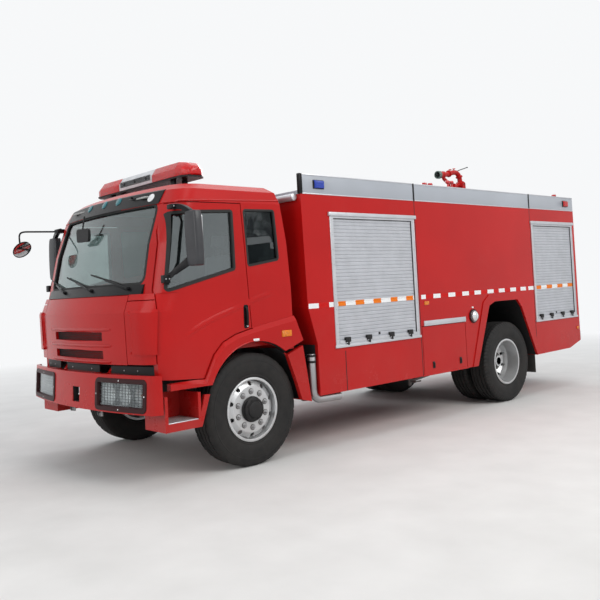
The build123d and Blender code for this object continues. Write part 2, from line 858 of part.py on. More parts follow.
lug += cylinder_x(lug_inner, lug_inner + tilt_lug, tilt_station, tilt_height, tilt_boss)
lug += cylinder_x(rail_outer - rail_flange, lug_inner + 5, tilt_station, tilt_height, tilt_pin)
shell += both(lug)
keep("cab_shell", shell)

# Black visor band over the windscreen and cowl under it
band_zone = block(-visor_band_half, visor_band_half, -1500, -600, windscreen[2][1] - 12, visor_band_top)
band = (hull_part(upper_cab, ledge, cab_roof, -visor_band_gauge) - hull_part(upper_cab, ledge, cab_roof, 0)) \
    & band_zone
cowl = loft([
    cab_outline((front_panel_top + panel_gap,) + tuple(section_at(lower_cab, front_panel_top)[1:]), 20),
    cab_outline((cowl_top,) + tuple(section_at(upper_cab, cowl_top)[1:]), -8),
], ruled=True)
cowl -= hull_part(upper_cab, ledge, cab_roof, 0)
cowl &= block(-windscreen[1][0], windscreen[1][0], -1500, -900, ledge, cowl_top)
keep("windscreen_trim", band + cowl)

# Cab fenders with the sills in front of them
sill_line = [(sill_front, sill_bottom + 58), door_sill_rear]
fender_top = sill_line + door_crease + [fender_tail[0]]
arch_front = arch_y - math.sqrt(fender_arch_radius ** 2 - (arch_z - sill_bottom) ** 2)
fender_low = [fender_tail[1], fender_tail[2], (arch_y, arch_z + 300), (arch_front, sill_bottom),
              (sill_front, sill_bottom)]


def fender_face(drop):
    top = [(y, z - drop) for y, z in fender_top]
    top[0] = fender_top[0]
    tail = (fender_tail[0][0], fender_tail[0][1] - drop)
    top[-1] = tail
    return Polygon(*(top + fender_low), align=None)


fender = extrude(Plane.YZ.offset(fender_inner) * fender_face(0), amount=cab_width / 2 + 6 - fender_inner,
                 dir=(1, 0, 0))
fender += loft([
    Plane.YZ.offset(cab_width / 2 + 6) * fender_face(0),
    Plane.YZ.offset(fender_outer) * fender_face(fender_shoulder)], ruled=True)
fender -= cylinder_x(fender_inner - 1, fender_outer + 1, arch_y, arch_z, fender_arch_radius)
fender -= door_region
keep("cab_fenders", both(fender))
pieces["cab_shell"] -= both(fender)
pieces["corner_panels"] -= both(fender)

# Entry steps
step_box = block(step_inner, step_outer - 1, step_front, step_rear, step_bottom, step_top)
step_box -= block(step_inner + step_wall, step_outer + 1, step_front + step_wall, step_rear - step_wall,
                  step_tread, step_top + 1)
step_wing = side_plate([
    (step_front, step_top), step_wing_top, (step_wing_bottom, step_bottom), (step_front, step_bottom)],
    step_outer - step_wall, step_outer)
step_wing -= side_plate([
    (step_front + step_wall, step_top + 1), (step_wing_top[0] - 1.6 * step_wall, step_top + 1),
    (step_rear - step_wall + 12, step_tread), (step_front + step_wall, step_tread)],
    step_outer - step_wall - 1, step_outer + 1)
step_stay = block(rail_outer, step_inner, step_front + 60, step_front + 110, rail_bottom + 10, rail_bottom + 70)
keep("entry_steps", both(step_box + step_wing + step_stay))

# Mudguards
guard = side_plate(guard_outline, guard_outer - guard_skin, guard_outer)
liner_out = cylinder_x(guard_inner, guard_outer - guard_skin, 0, axle_z, guard_liner_radius + guard_liner_gauge)
liner_in = cylinder_x(guard_inner - 1, guard_outer, 0, axle_z, guard_liner_radius)
liner = (liner_out - liner_in) & block(guard_inner, guard_outer, 300, 900, axle_z, guard_liner_top)
guard_stay = block(rail_outer, guard_outer - guard_skin, 640, 680, rail_bottom + 20, rail_bottom + 60)
keep("front_mudguards", both(guard + liner + guard_stay))

# Side pipe on the vehicle's left
pipe = bent_pipe([
    (pipe_offset, pipe_station, pipe_top), (pipe_offset, pipe_station, pipe_bottom),
    (pipe_offset, pipe_tail, pipe_bottom - 20)], pipe_radius, pipe_bend)
for z in pipe_clamps:
    pipe += block(pipe_offset - 12, pipe_offset + 12, pipe_station, skirt_front_shoulder[0] + 1, z, z + 40)
keep("side_pipe", pipe)

# Body modules
half_body = body_width / 2


def tunnel(y0, y1):
    """Space under the floor for the frame, springs and axle."""
    return block(-side_locker_inner, side_locker_inner, y0, y1, 0, body_floor)


def locker_space(outline, opening):
    """Inside of a locker and its two side openings."""
    y0, y1 = opening
    space = side_plate(outline, -half_body + body_wall, half_body - body_wall)
    space += block(-half_body - 50, half_body + 50, y0, y1, body_floor, shutter_head)
    return space


front_outline = [
    (body_front, band_bottom), body_front_kink, skirt_front_shoulder, (skirt_front, skirt_bottom),
    (front_seam, skirt_bottom), (front_seam, band_bottom)]
front_inside = [
    (body_front + body_wall, band_bottom - body_wall), (body_front_kink[0] + body_wall, body_front_kink[1]),
    (skirt_front_shoulder[0] + body_wall, body_floor + shutter_sill),
    (front_seam - shutter_margin, body_floor + shutter_sill),
    (front_seam - shutter_margin, band_bottom - body_wall)]
front_opening = (shutter_front_start, front_seam - shutter_margin)
front_locker = side_plate(front_outline, -half_body, half_body)
front_locker -= tunnel(0, front_seam + 1)
front_locker -= locker_space(front_inside, front_opening)
keep("front_locker", front_locker)

rear_outline = [
    (rear_seam, skirt_bottom), (body_rear - 330, skirt_bottom + 10), (body_rear, skirt_bottom + 100),
    (body_rear, band_bottom), (rear_seam, band_bottom)]
rear_inside = [
    (rear_seam + body_wall, body_floor + shutter_sill), (body_rear - body_wall, body_floor + shutter_sill),
    (body_rear - body_wall, band_bottom - body_wall), (rear_seam + body_wall, band_bottom - body_wall)]
rear_opening = (rear_seam + shutter_margin, body_rear - 70)
rear_locker = side_plate(rear_outline, -half_body, half_body)
rear_locker -= tunnel(rear_seam - 1, body_rear + 1)
rear_locker -= locker_space(rear_inside, rear_opening)
rear_locker -= block(-shutter_rear_width / 2, shutter_rear_width / 2, body_rear - 100, body_rear + 50,
                     body_floor, shutter_head)
keep("rear_locker", rear_locker)

arch_outline = [
    (arch_front_foot, skirt_bottom), (arch_front_shoulder, 1293), (arch_front_shoulder + 134, arch_top),
    (wheelbase + 230, arch_top), (arch_rear_shoulder, arch_shoulder_height), (arch_rear_foot, skirt_bottom)]
tank_outline = [
    (front_seam, skirt_bottom), (rear_seam, skirt_bottom), (rear_seam, band_bottom), (front_seam, band_bottom)]
tank = side_plate(tank_outline, -half_body, half_body)
tank -= tunnel(front_seam - 1, rear_seam + 1)
arch_cut = side_plate(
    [(arch_front_foot - 2, skirt_bottom - 5)] + arch_outline[1:-1] + [(arch_rear_foot + 2, skirt_bottom - 5)],
    wheelhouse_inner, half_body + 100)
tank -= both(arch_cut)
flare_outline = [
    (arch_front_foot - arch_flare_width, skirt_bottom), (arch_front_shoulder - arch_flare_width - 18, 1345),
    (arch_front_shoulder + 30, arch_top + arch_flare_width), (wheelbase + 270, arch_top + arch_flare_width),
    (arch_rear_shoulder + arch_flare_width, arch_shoulder_height + 40), (rear_seam, 760),
    (rear_seam, skirt_bottom)]
flare = side_plate(flare_outline, half_body - 5, half_body + arch_flare_proud) - arch_cut
tank += both(flare)
flap_seat = block(half_body - flap_thickness - 1, half_body + 50, flap_front - panel_gap,
                  flap_rear + panel_gap, skirt_bottom - 1, flap_top + panel_gap)
flap_pocket = block(half_body - flap_pocket_depth, half_body + 50, flap_front + flap_pocket_margin,
                    flap_rear - flap_pocket_margin, skirt_bottom + 50, flap_top - 30)
tank -= both(flap_seat + flap_pocket)
flap_axis = skirt_bottom + 3
flap = block(half_body - flap_thickness, half_body, flap_front, flap_rear, flap_axis, flap_top)
flap += cylinder_y(half_body, flap_front, flap_rear, flap_axis, flap_barrel)
knuckle_end = panel_gap / 2
for end, inward in ((flap_front, 1), (flap_rear, -1)):
    knuckle_y = sorted([end - inward * knuckle_end, end - inward * (knuckle_end + flap_pin_length)])
    pin_y = sorted([end - inward * knuckle_end, end + inward * flap_pin_length])
    tank += both(cylinder_y(half_body, knuckle_y[0], knuckle_y[1], flap_axis, flap_barrel))
    tank += both(cylinder_y(half_body, pin_y[0] - 1, pin_y[1] + 1, flap_axis, flap_pin))
    flap -= cylinder_y(half_body, pin_y[0] - 3, pin_y[1] + 3, flap_axis, flap_pin + pin_gap)
keep("tank_body", tank)
keep("flap_left", flap)
keep("flap_right", right_of(flap))

# Roof tray: deck and parapet in one
tray = block(-half_body, half_body, body_front, body_rear, band_bottom, body_top)
tray -= block(-half_body + parapet_gauge, half_body - parapet_gauge, body_front + parapet_gauge,
              body_rear - parapet_gauge, band_bottom + deck_gauge, body_top + 1)
deck_top = band_bottom + deck_gauge
tray += block(-walkway_half, walkway_half, walkway_front, walkway_rear, deck_top - 1, deck_top + walkway_gauge)
manhole = cylinder_z(0, manhole_station, deck_top - 1, deck_top + 16, manhole_radius)
manhole += cylinder_z(0, manhole_station, deck_top, deck_top + manhole_height - 30, manhole_neck)
lid = cylinder_z(0, manhole_station, deck_top + manhole_height - 34, deck_top + manhole_height, manhole_radius)
manhole += chamfer(lid.edges().sort_by(Axis.Z)[-1], 14)
keep("roof_band", tray + manhole)

# Roller shutters, made upright about X = 0 and then set in their openings

def shutter_ring(width, low, high):
    ring = block(-35, 3, 0, width, low, high)
    return ring - block(-40, 10, shutter_rail, width - shutter_rail, low + shutter_sill,
                        high - shutter_head_depth)


def shutter_curtain(width, low, high):
    """Curtain of interlocked slats, grooved where they join."""
    y0 = shutter_rail
    y1 = width - shutter_rail
    bottom = low + shutter_sill
    top = high - shutter_head_depth
    count = round((top - bottom) / slat_pitch)
    pitch = (top - bottom) / count
    face = -10
    outline = [(face - curtain_depth, bottom)]
    for i in range(count):
        z = bottom + i * pitch
        outline += [(face - slat_depth, z), (face, z + 0.2 * pitch), (face, z + 0.8 * pitch)]
    outline += [(face - slat_depth, top), (face - curtain_depth, top)]
    sheet = front_plate(outline, y0, y1)
    return sheet


def shutter_bar(width, low):
    """Lift bar along the foot of the curtain, with its latches."""
    y0 = shutter_rail + 2
    y1 = width - shutter_rail - 2
    z0 = low + shutter_sill + 2
    bar = block(-10, -10 + lift_bar_depth, y0, y1, z0, z0 + lift_bar_height / 2)
    for share in latch_shares:
        y = width * share
        bar += block(-10, 16, y - latch_width / 2, y + latch_width / 2, z0, z0 + lift_bar_height)
    return bar


def place_left(shape, start):
    return Pos(half_body, start, 0) * shape


def place_rear(shape, width):
    return Pos(width / 2, body_rear, 0) * Rotation(0, 0, 90) * shape


front_width = front_opening[1] - front_opening[0]
rear_width = rear_opening[1] - rear_opening[0]
shutter_parts = {"shutter_frames": shutter_ring, "shutter_curtains": shutter_curtain}
for name, make in shutter_parts.items():
    group = both(place_left(make(front_width, body_floor, shutter_head), front_opening[0]))
    group += both(place_left(make(rear_width, body_floor, shutter_head), rear_opening[0]))
    group += place_rear(make(shutter_rear_width, body_floor, shutter_head), shutter_rear_width)
    keep(name, group)
bars = both(place_left(shutter_bar(front_width, body_floor), front_opening[0]))
bars += both(place_left(shutter_bar(rear_width, body_floor), rear_opening[0]))
bars += place_rear(shutter_bar(shutter_rear_width, body_floor), shutter_rear_width)
keep("shutter_bars", bars)

# Tank inlets
inlet = cylinder_x(half_body, half_body + inlet_proud, inlet_station, inlet_height, inlet_radius)
inlet += cylinder_x(half_body + inlet_proud, half_body + inlet_proud + 14, inlet_station, inlet_height,
                    inlet_radius - 14)
keep("tank_inlets", both(inlet))

# Lamps
beacon = block(half_body, half_body + beacon_proud, -beacon_length / 2, beacon_length / 2,
               beacon_height_centre - beacon_height / 2, beacon_height_centre + beacon_height / 2)
keep("blue_lamps", both(Pos(0, beacon_front_station, 0) * beacon))
tail = block(half_body - 60 - tail_lamp_width, half_body - 60, body_rear, body_rear + tail_lamp_proud,
             rear_bumper_bottom + rear_bumper_height + 30, rear_bumper_bottom + rear_bumper_height + 30
             + tail_lamp_height)
keep("red_lamps", both(Pos(0, beacon_rear_station, 0) * beacon + tail))

# Rear bumper and ladder
rear_bar = block(-half_body + 40, half_body - 40, body_rear, body_rear + rear_bumper_depth,
                 rear_bumper_bottom, rear_bumper_bottom + rear_bumper_height)
keep("rear_bumper", rear_bar)
jaw_bottom = tow_jaw_top - 2 * tow_jaw_plate - tow_jaw_mouth
jaw = block(-tow_jaw_half, tow_jaw_half, rail_rear - 100, body_rear + tow_jaw_reach, jaw_bottom, tow_jaw_top)
jaw -= block(-tow_jaw_half - 1, tow_jaw_half + 1, body_rear - 10, body_rear + tow_jaw_reach + 1,
             jaw_bottom + tow_jaw_plate, tow_jaw_top - tow_jaw_plate)
jaw -= cylinder_z(0, body_rear + tow_jaw_reach / 2, jaw_bottom - 1, tow_jaw_top + 1, tow_pin_bore)
jaw += block(-tow_jaw_half, tow_jaw_half, rail_rear - 100, rail_rear - 100 + cross_member_depth, tow_jaw_top,
             rail_bottom + 90)
keep("tow_jaw", jaw)
ladder_y = body_rear + ladder_standoff
ladder = None
for x in (-ladder_offset - ladder_width / 2, -ladder_offset + ladder_width / 2):
    stile = bent_pipe([
        (x, ladder_y, ladder_bottom), (x, ladder_y, body_top + ladder_rise),
        (x, body_rear - ladder_overlap, body_top + ladder_rise), (x, body_rear - ladder_overlap, deck_top)],
        ladder_tube, ladder_bend)
    stile += cylinder_y(x, body_rear, ladder_y, ladder_bottom + 60, ladder_tube - 4)
    stile += cylinder_y(x, body_rear, ladder_y, band_bottom - 60, ladder_tube - 4)
    ladder = stile if ladder is None else ladder + stile
rung_pitch = (body_top - 60 - ladder_bottom - 100) / (ladder_rungs - 1)
for i in range(ladder_rungs):
    z = ladder_bottom + 100 + i * rung_pitch
    ladder += cylinder_x(-ladder_offset - ladder_width / 2, -ladder_offset + ladder_width / 2, ladder_y, z,
                         ladder_tube - 3)
keep("rear_ladder", ladder)

# Mudflaps behind the rear wheels
mudflap = block(side_locker_inner + 10, half_body - 40, arch_rear_foot + 3, arch_rear_foot + 3 + mudflap_gauge,
                mudflap_bottom, skirt_bottom)
keep("mudflaps", both(mudflap))

# Monitor
column = cylinder_z(0, monitor_station, deck_top, deck_top + 20, column_radius + 60)
column += cylinder_z(0, monitor_station, deck_top, column_top, column_radius)
keep("monitor_column", column)
swivel = cylinder_z(0, monitor_station, column_top + pin_gap, column_top + 60, column_radius + 12)
cheek_inner = trunnion_half + working_gap
cheek_outer = cheek_inner + cheek_gauge
swivel += both(block(cheek_inner, cheek_outer, trunnion_station - 38, trunnion_station + 38, column_top + 20,
                     trunnion_height + 35))
swivel -= cylinder_x(-cheek_outer - 1, cheek_outer + 1, trunnion_station, trunnion_height, trunnion_pin + pin_gap)
keep("monitor_swivel", swivel)
barrel = cylinder_x(-trunnion_half, trunnion_half, trunnion_station, trunnion_height, 46)
barrel += cylinder_x(-cheek_outer, cheek_outer, trunnion_station, trunnion_height, trunnion_pin)
barrel += rod((0, trunnion_station, trunnion_height), (0, elbow_top[0] + 60, elbow_top[1] - 50), waterway_radius)
barrel += rod((0, elbow_top[0] + 60, elbow_top[1] - 50), (0, elbow_top[0], elbow_top[1] - 30), waterway_radius)
barrel += rod((0, elbow_top[0], elbow_top[1] - 30), (0, nozzle_tip[0] + 150, nozzle_tip[1] + 12), waterway_radius)
barrel += rod((0, nozzle_tip[0] + 170, nozzle_tip[1] + 12), (0, nozzle_tip[0], nozzle_tip[1]), nozzle_radius)
barrel += rod((0, elbow_top[0], elbow_top[1] - 30), (0, 5390, 3395), 9)
keep("monitor_barrel", barrel)

# Light bar
bar_y0 = light_bar_station - light_bar_depth / 2
bar_y1 = light_bar_station + light_bar_depth / 2
bar_base = block(-light_bar_half + 20, light_bar_half - 20, bar_y0 + 20, bar_y1 - 20, light_bar_bottom,
                 light_bar_bottom + 35)
bar_centre = block(-light_bar_centre_half, light_bar_centre_half, bar_y0, bar_y1, light_bar_bottom + 35,
                   light_bar_top)
bar_feet = both(block(light_bar_foot_half - 40, light_bar_foot_half + 40, bar_y0 + 60, bar_y1 - 60,
                      cab_roof, light_bar_bottom))
keep("light_bar", bar_base + bar_centre + bar_feet)
lens_outline = [
    (light_bar_centre_half, bar_y0), (light_bar_half - 90, bar_y0), (light_bar_half, light_bar_station - 55),
    (light_bar_half, light_bar_station + 55), (light_bar_half - 90, bar_y1), (light_bar_centre_half, bar_y1)]
keep("light_bar_lenses", both(plan_plate(lens_outline, light_bar_bottom + 35, light_bar_top)))

# Mirrors on the doors
mx, my, mz = mirror_centre
housing = block(mx - mirror_width / 2, mx + mirror_width / 2, my - mirror_depth / 2, my + mirror_depth / 2,
                mz - mirror_height / 2, mz + mirror_height / 2)
housing = fillet(housing.edges().filter_by(Axis.Z), 35)
upper_arm = rod(mirror_arm_root, (mx, my, mz + mirror_height / 2 - 30), mirror_arm_radius)
lower_arm = rod(mirror_foot_root, (mx, my, mz - mirror_height / 2 + 40), mirror_arm_radius)
mirror_body = (housing + upper_arm + lower_arm) - cab_outer
keep("mirror_left", mirror_body)
kx, ky, kz = kerb_mirror_centre
arm_top = mz + mirror_height / 2 - 30
kerb_root = (-(mirror_arm_root[0] + mx) / 2, (mirror_arm_root[1] + my) / 2, (mirror_arm_root[2] + arm_top) / 2)
kerb_arm = rod(kerb_root, (kx, ky - 40, mirror_arm_root[2]), kerb_arm_radius)
kerb_arm += rod((kx, ky - 40, mirror_arm_root[2] + kerb_arm_radius), (kx, ky, kz), kerb_arm_radius)
kerb_plane = Plane(origin=kerb_mirror_centre, z_dir=(0.757, 0.171, -0.629))
kerb_disc = extrude(kerb_plane * Circle(kerb_mirror_radius), amount=-30)
keep("mirror_right", right_of(mirror_body) + (kerb_arm + kerb_disc))

# Interior
cushion = block(seat_offset - seat_width / 2, seat_offset + seat_width / 2, seat_front, seat_front + seat_depth,
                seat_height - cushion_gauge, seat_height)
back_y = seat_front + seat_depth - backrest_rake
backrest = side_plate([
    (back_y, seat_height), (back_y + backrest_gauge, seat_height),
    (back_y + backrest_gauge + backrest_rake, backrest_top), (back_y + backrest_rake, backrest_top)],
    seat_offset - seat_width / 2, seat_offset + seat_width / 2)
keep("seats", both(cushion + backrest))
dash_nose = dash_top - dash_nose_drop
dash = side_plate([
    (-1200, dash_bottom), (dash_rear - dash_slope, dash_bottom), (dash_rear, dash_nose),
    (dash_rear - dash_slope, dash_top), (-1200, dash_top)], -dash_half, dash_half)
dash &= cab_inner
keep("dashboard", dash)
rake = math.radians(steering_wheel_tilt)
wheel_y = dash_rear + steering_column_length * math.sin(rake)
wheel_z = dash_nose + steering_column_length * math.cos(rake)
wheel_plane = Location((seat_offset, wheel_y, wheel_z), (-steering_wheel_tilt, 0, 0))
wheel = Torus(steering_wheel_radius, steering_rim_radius)
wheel += Cylinder(45, 40)
for angle in (0, 120, 240):
    wheel += Rotation(0, 0, angle) * block(0, steering_wheel_radius, -14, 14, -8, 8)
wheel += Pos(0, 0, -steering_column_length / 2) * Cylinder(22, steering_column_length)
keep("steering_wheel", wheel_plane * wheel - dash)

# Every piece moves so that the origin is on the ground at mid-length
boxes = [shape.bounding_box() for shape in pieces.values()]
front_end = min(box.min.Y for box in boxes)
rear_end = max(box.max.Y for box in boxes)
shift = -(front_end + rear_end) / 2
print("shift", shift, "length", rear_end - front_end, "height", max(box.max.Z for box in boxes))
os.makedirs("parts", exist_ok=True)
for name, shape in pieces.items():
    export_step(Pos(0, shift, 0) * shape, f"parts/{name}.step")
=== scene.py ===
import bpy
import bmesh
from math import atan2, ceil, cos, pi, radians, sin, sqrt, tan
from mathutils import Matrix, Vector


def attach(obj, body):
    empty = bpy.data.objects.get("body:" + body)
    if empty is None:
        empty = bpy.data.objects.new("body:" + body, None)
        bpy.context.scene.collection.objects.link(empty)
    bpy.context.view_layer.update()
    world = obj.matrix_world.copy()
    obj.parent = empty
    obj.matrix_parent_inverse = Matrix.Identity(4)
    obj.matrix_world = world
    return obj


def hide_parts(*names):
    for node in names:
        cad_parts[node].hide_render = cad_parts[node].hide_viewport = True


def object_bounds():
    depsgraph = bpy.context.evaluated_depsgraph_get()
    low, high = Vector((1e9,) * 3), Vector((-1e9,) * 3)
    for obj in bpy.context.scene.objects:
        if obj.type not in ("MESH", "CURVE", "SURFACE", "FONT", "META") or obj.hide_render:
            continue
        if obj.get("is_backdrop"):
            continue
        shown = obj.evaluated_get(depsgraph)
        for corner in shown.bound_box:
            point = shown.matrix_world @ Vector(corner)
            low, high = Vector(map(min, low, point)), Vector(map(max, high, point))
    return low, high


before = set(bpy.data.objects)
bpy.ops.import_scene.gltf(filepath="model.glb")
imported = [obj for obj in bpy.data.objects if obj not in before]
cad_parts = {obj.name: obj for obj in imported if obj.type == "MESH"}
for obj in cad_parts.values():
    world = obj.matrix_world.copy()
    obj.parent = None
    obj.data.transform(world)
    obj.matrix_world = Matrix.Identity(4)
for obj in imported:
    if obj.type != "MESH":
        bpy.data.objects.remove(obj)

X_AXIS = Vector((1, 0, 0))
Y_AXIS = Vector((0, 1, 0))
Z_AXIS = Vector((0, 0, 1))

# Stations along Y are measured from the front axle, and at() moves them by SHIFT into the shared frame.
SHIFT = -2.5455
HALF = 1.25  # half the width of the body
REAR = 6.23  # its rear wall
SIDE = 1
scene = bpy.context.scene
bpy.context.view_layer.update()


def both_sides():
    """Gives each side's name in turn. Meanwhile at() mirrors what is made for the right side."""
    global SIDE
    for name, SIDE in (("left", 1), ("right", -1)):
        yield name
    SIDE = 1


def at(x, y, z):
    return Vector((SIDE * x, y + SHIFT, z))


def line_of(*places):
    return [at(*place) for place in places]


# materials

BACKDROP = (0.93, 0.94, 0.95, 1.0)


def seen_rays(tree):
    """1 for the rays that show a surface: the camera's and those by way of gloss or glass."""
    path = tree.nodes.new("ShaderNodeLightPath")
    total = path.outputs["Is Camera Ray"]
    for name in ("Is Glossy Ray", "Is Transmission Ray"):
        node = tree.nodes.new("ShaderNodeMath")
        node.operation = "MAXIMUM"
        tree.links.new(total, node.inputs[0])
        tree.links.new(path.outputs[name], node.inputs[1])
        total = node.outputs[0]
    return total


class Shader:
    """The nodes of a material, or of the world, built up by calls."""

    def __init__(self, name, kind="Material"):
        world = kind == "World"
        self.mat = (bpy.data.worlds if world else bpy.data.materials).new(name)
        self.mat.use_nodes = True
        self.tree = self.mat.node_tree
        self.tree.nodes.clear()
        self.out = self.add("ShaderNodeOutput" + kind)
        self.coord = self.add("ShaderNodeTexCoord").outputs["Generated" if world else "Object"]

    def add(self, kind, **settings):
        node = self.tree.nodes.new(kind)
        for key, value in settings.items():
            setattr(node, key, value)
        return node

    def put(self, socket, value):
        if isinstance(value, bpy.types.NodeSocket):
            self.tree.links.new(value, socket)
        else:
            socket.default_value = value

    def math(self, op, a, b=0.0, clamp=False):
        node = self.add("ShaderNodeMath", operation=op, use_clamp=clamp)
        self.put(node.inputs[0], a)
        self.put(node.inputs[1], b)
        return node.outputs[0]

    def scaled(self, scale):
        node = self.add("ShaderNodeMapping")
        self.put(node.inputs["Vector"], self.coord)
        node.inputs["Scale"].default_value = scale
        return node.outputs[0]

    def noise(self, scale, detail=3.0, rough=0.5, stretch=None):
        node = self.add("ShaderNodeTexNoise")
        self.put(node.inputs["Vector"], self.scaled(stretch) if stretch else self.coord)
        node.inputs["Scale"].default_value = scale
        node.inputs["Detail"].default_value = detail
        node.inputs["Roughness"].default_value = rough
        return node.outputs[0]

    def cells(self, scale, stretch=None, feature="F1"):
        node = self.add("ShaderNodeTexVoronoi", feature=feature)
        self.put(node.inputs["Vector"], self.scaled(stretch) if stretch else self.coord)
        node.inputs["Scale"].default_value = scale
        return node.outputs[0]

    def bands(self, scale, direction, distort=0.0):
        node = self.add("ShaderNodeTexWave", wave_type="BANDS", bands_direction=direction)
        self.put(node.inputs["Vector"], self.coord)
        node.inputs["Scale"].default_value = scale
        node.inputs["Distortion"].default_value = distort
        return node.outputs[1]

    def span(self, value, low, high, to_low=0.0, to_high=1.0):
        node = self.add("ShaderNodeMapRange", clamp=True)
        self.put(node.inputs[0], value)
        for i, v in enumerate((low, high, to_low, to_high)):
            node.inputs[i + 1].default_value = v
        return node.outputs[0]

    def axis(self, name):
        node = self.add("ShaderNodeSeparateXYZ")
        self.put(node.inputs[0], self.coord)
        return node.outputs[name]

    def mix(self, factor, a, b):
        node = self.add("ShaderNodeMix", data_type="RGBA")
        self.put(node.inputs[0], factor)
        for socket, value in ((node.inputs[6], a), (node.inputs[7], b)):
            self.put(socket, value if isinstance(value, bpy.types.NodeSocket) else (*value[:3], 1.0))
        return node.outputs[2]

    def bump(self, height, distance, strength=1.0, normal=None):
        node = self.add("ShaderNodeBump")
        node.inputs["Strength"].default_value = strength
        node.inputs["Distance"].default_value = distance
        self.put(node.inputs["Height"], height)
        if normal is not None:
            self.put(node.inputs["Normal"], normal)
        return node.outputs[0]

    def surface(self, **values):
        node = self.add("ShaderNodeBsdfPrincipled")
        for key, value in values.items():
            socket = node.inputs[key.replace("_", " ")]
            if isinstance(value, tuple) and len(value) == 3 and socket.type == "RGBA":
                value = (*value, 1.0)
            self.put(socket, value)
        self.put(self.out.inputs["Surface"], node.outputs[0])
        return self.mat

    def length(self):
        """Distance from the middle of the object that carries the material."""
        node = self.add("ShaderNodeVectorMath", operation="LENGTH")
        self.put(node.inputs[0], self.coord)
        return node.outputs["Value"]

    def seen_as_white(self, share):
        """Turns the surface into the backdrop's colour by a share, for the rays that show it."""
        under = self.out.inputs["Surface"].links[0].from_socket
        glow = self.add("ShaderNodeEmission")
        glow.inputs[0].default_value = BACKDROP
        blend = self.add("ShaderNodeMixShader")
        self.put(blend.inputs[0], self.math("MULTIPLY", share, seen_rays(self.tree)))
        self.put(blend.inputs[1], under)
        self.put(blend.inputs[2], glow.outputs[0])
        self.put(self.out.inputs["Surface"], blend.outputs[0])
        return self.mat


DUST = (0.27, 0.235, 0.2)


def shade(colour, share):
    return tuple(c * share for c in colour)


def dust_mask(s, top, bottom, most):
    """Dust that thickens towards the ground."""
    height = s.span(s.axis("Z"), bottom, top, 1.0, 0.0)
    patches = s.span(s.noise(3.0, 5.0, 0.6), 0.3, 0.75)
    fine = s.span(s.noise(60.0, 3.0, 0.7), 0.2, 0.8, 0.55, 1.0)
    return s.math("MULTIPLY", s.math("MULTIPLY", height, patches), s.math("MULTIPLY", fine, most))


def paint(name, colour, rough=0.24, dust=0.09, top=1.3):
    s = Shader(name)
    tone = s.span(s.noise(1.3, 2.0), 0.3, 0.7)
    base = s.mix(tone, shade(colour, 0.93), tuple(min(1.0, c * 1.05) for c in colour))
    dirt = dust_mask(s, top, 0.35, dust)
    film = s.math("ADD", dirt, s.span(s.noise(0.9, 6.0, 0.65), 0.55, 0.85, 0.0, 0.05))
    base = s.mix(film, base, DUST)
    peel = s.bump(s.noise(260.0, 2.0), 0.00025, 0.25)
    wave = s.bump(s.noise(3.2, 1.0), 0.0022, 0.22, peel)
    roughness = s.math("ADD", s.math("MULTIPLY", film, 0.9), rough)
    return s.surface(Base_Color=base, Roughness=roughness, Normal=wave, Specular_IOR_Level=0.2,
                     Coat_Weight=0.05, Coat_Roughness=0.05)


def metal(name, colour, rough, metallic=1.0, dust=0.0, grain=None):
    s = Shader(name)
    patch = s.span(s.noise(7.0, 4.0), 0.3, 0.7)
    base = s.mix(patch, shade(colour, 0.88), colour)
    if dust:
        base = s.mix(dust_mask(s, 1.2, 0.3, dust), base, DUST)
    smudge = s.span(s.noise(18.0, 4.0, 0.6), 0.25, 0.8, rough * 0.8, rough * 1.35)
    normal = s.bump(s.noise(1.0, 2.0, 0.5, grain) if grain else s.noise(150.0, 2.0), 0.0003, 0.35)
    return s.surface(Base_Color=base, Metallic=metallic, Roughness=smudge, Normal=normal)


def plastic(name, colour, rough=0.5, grain=420.0, dust=0.05, top=1.6, coat=0.0, gloss=0.28):
    s = Shader(name)
    tone = s.span(s.noise(9.0, 4.0), 0.3, 0.7)
    base = s.mix(tone, shade(colour, 0.85), shade(colour, 1.12))
    dirt = dust_mask(s, top, 0.3, dust)
    base = s.mix(dirt, base, DUST)
    normal = s.bump(s.cells(grain), 0.0004, 0.35)
    return s.surface(Base_Color=base, Roughness=s.math("ADD", dirt, rough), Normal=normal,
                     Specular_IOR_Level=gloss, Coat_Weight=coat)


def tyre_rubber(name):
    s = Shader(name)
    patch = s.span(s.noise(11.0, 5.0, 0.65), 0.3, 0.72)
    base = s.mix(patch, (0.0095, 0.0095, 0.01), (0.019, 0.018, 0.0175))
    ring = s.span(s.noise(2.2, 6.0, 0.7), 0.42, 0.78, 0.0, 0.3)
    base = s.mix(ring, base, (0.075, 0.067, 0.06))
    normal = s.bump(s.noise(190.0, 4.0, 0.7), 0.0009, 0.5)
    return s.surface(Base_Color=base, Roughness=s.span(ring, 0.0, 0.3, 0.62, 0.86), Normal=normal,
                     Specular_IOR_Level=0.24)


def lens(name, colour, ribs=None, see=0.25):
    s = Shader(name)
    pattern = s.bands(ribs[0], ribs[1]) if ribs else s.cells(140.0)
    cell = s.span(s.cells(60.0), 0.0, 0.7)
    base = s.mix(cell, shade(colour, 0.72), colour)
    normal = s.bump(pattern, 0.0016, 0.6)
    return s.surface(Base_Color=base, Roughness=0.16, Normal=normal, Transmission_Weight=see, IOR=1.49,
                     Specular_IOR_Level=0.3, Coat_Weight=0.15, Coat_Roughness=0.04)


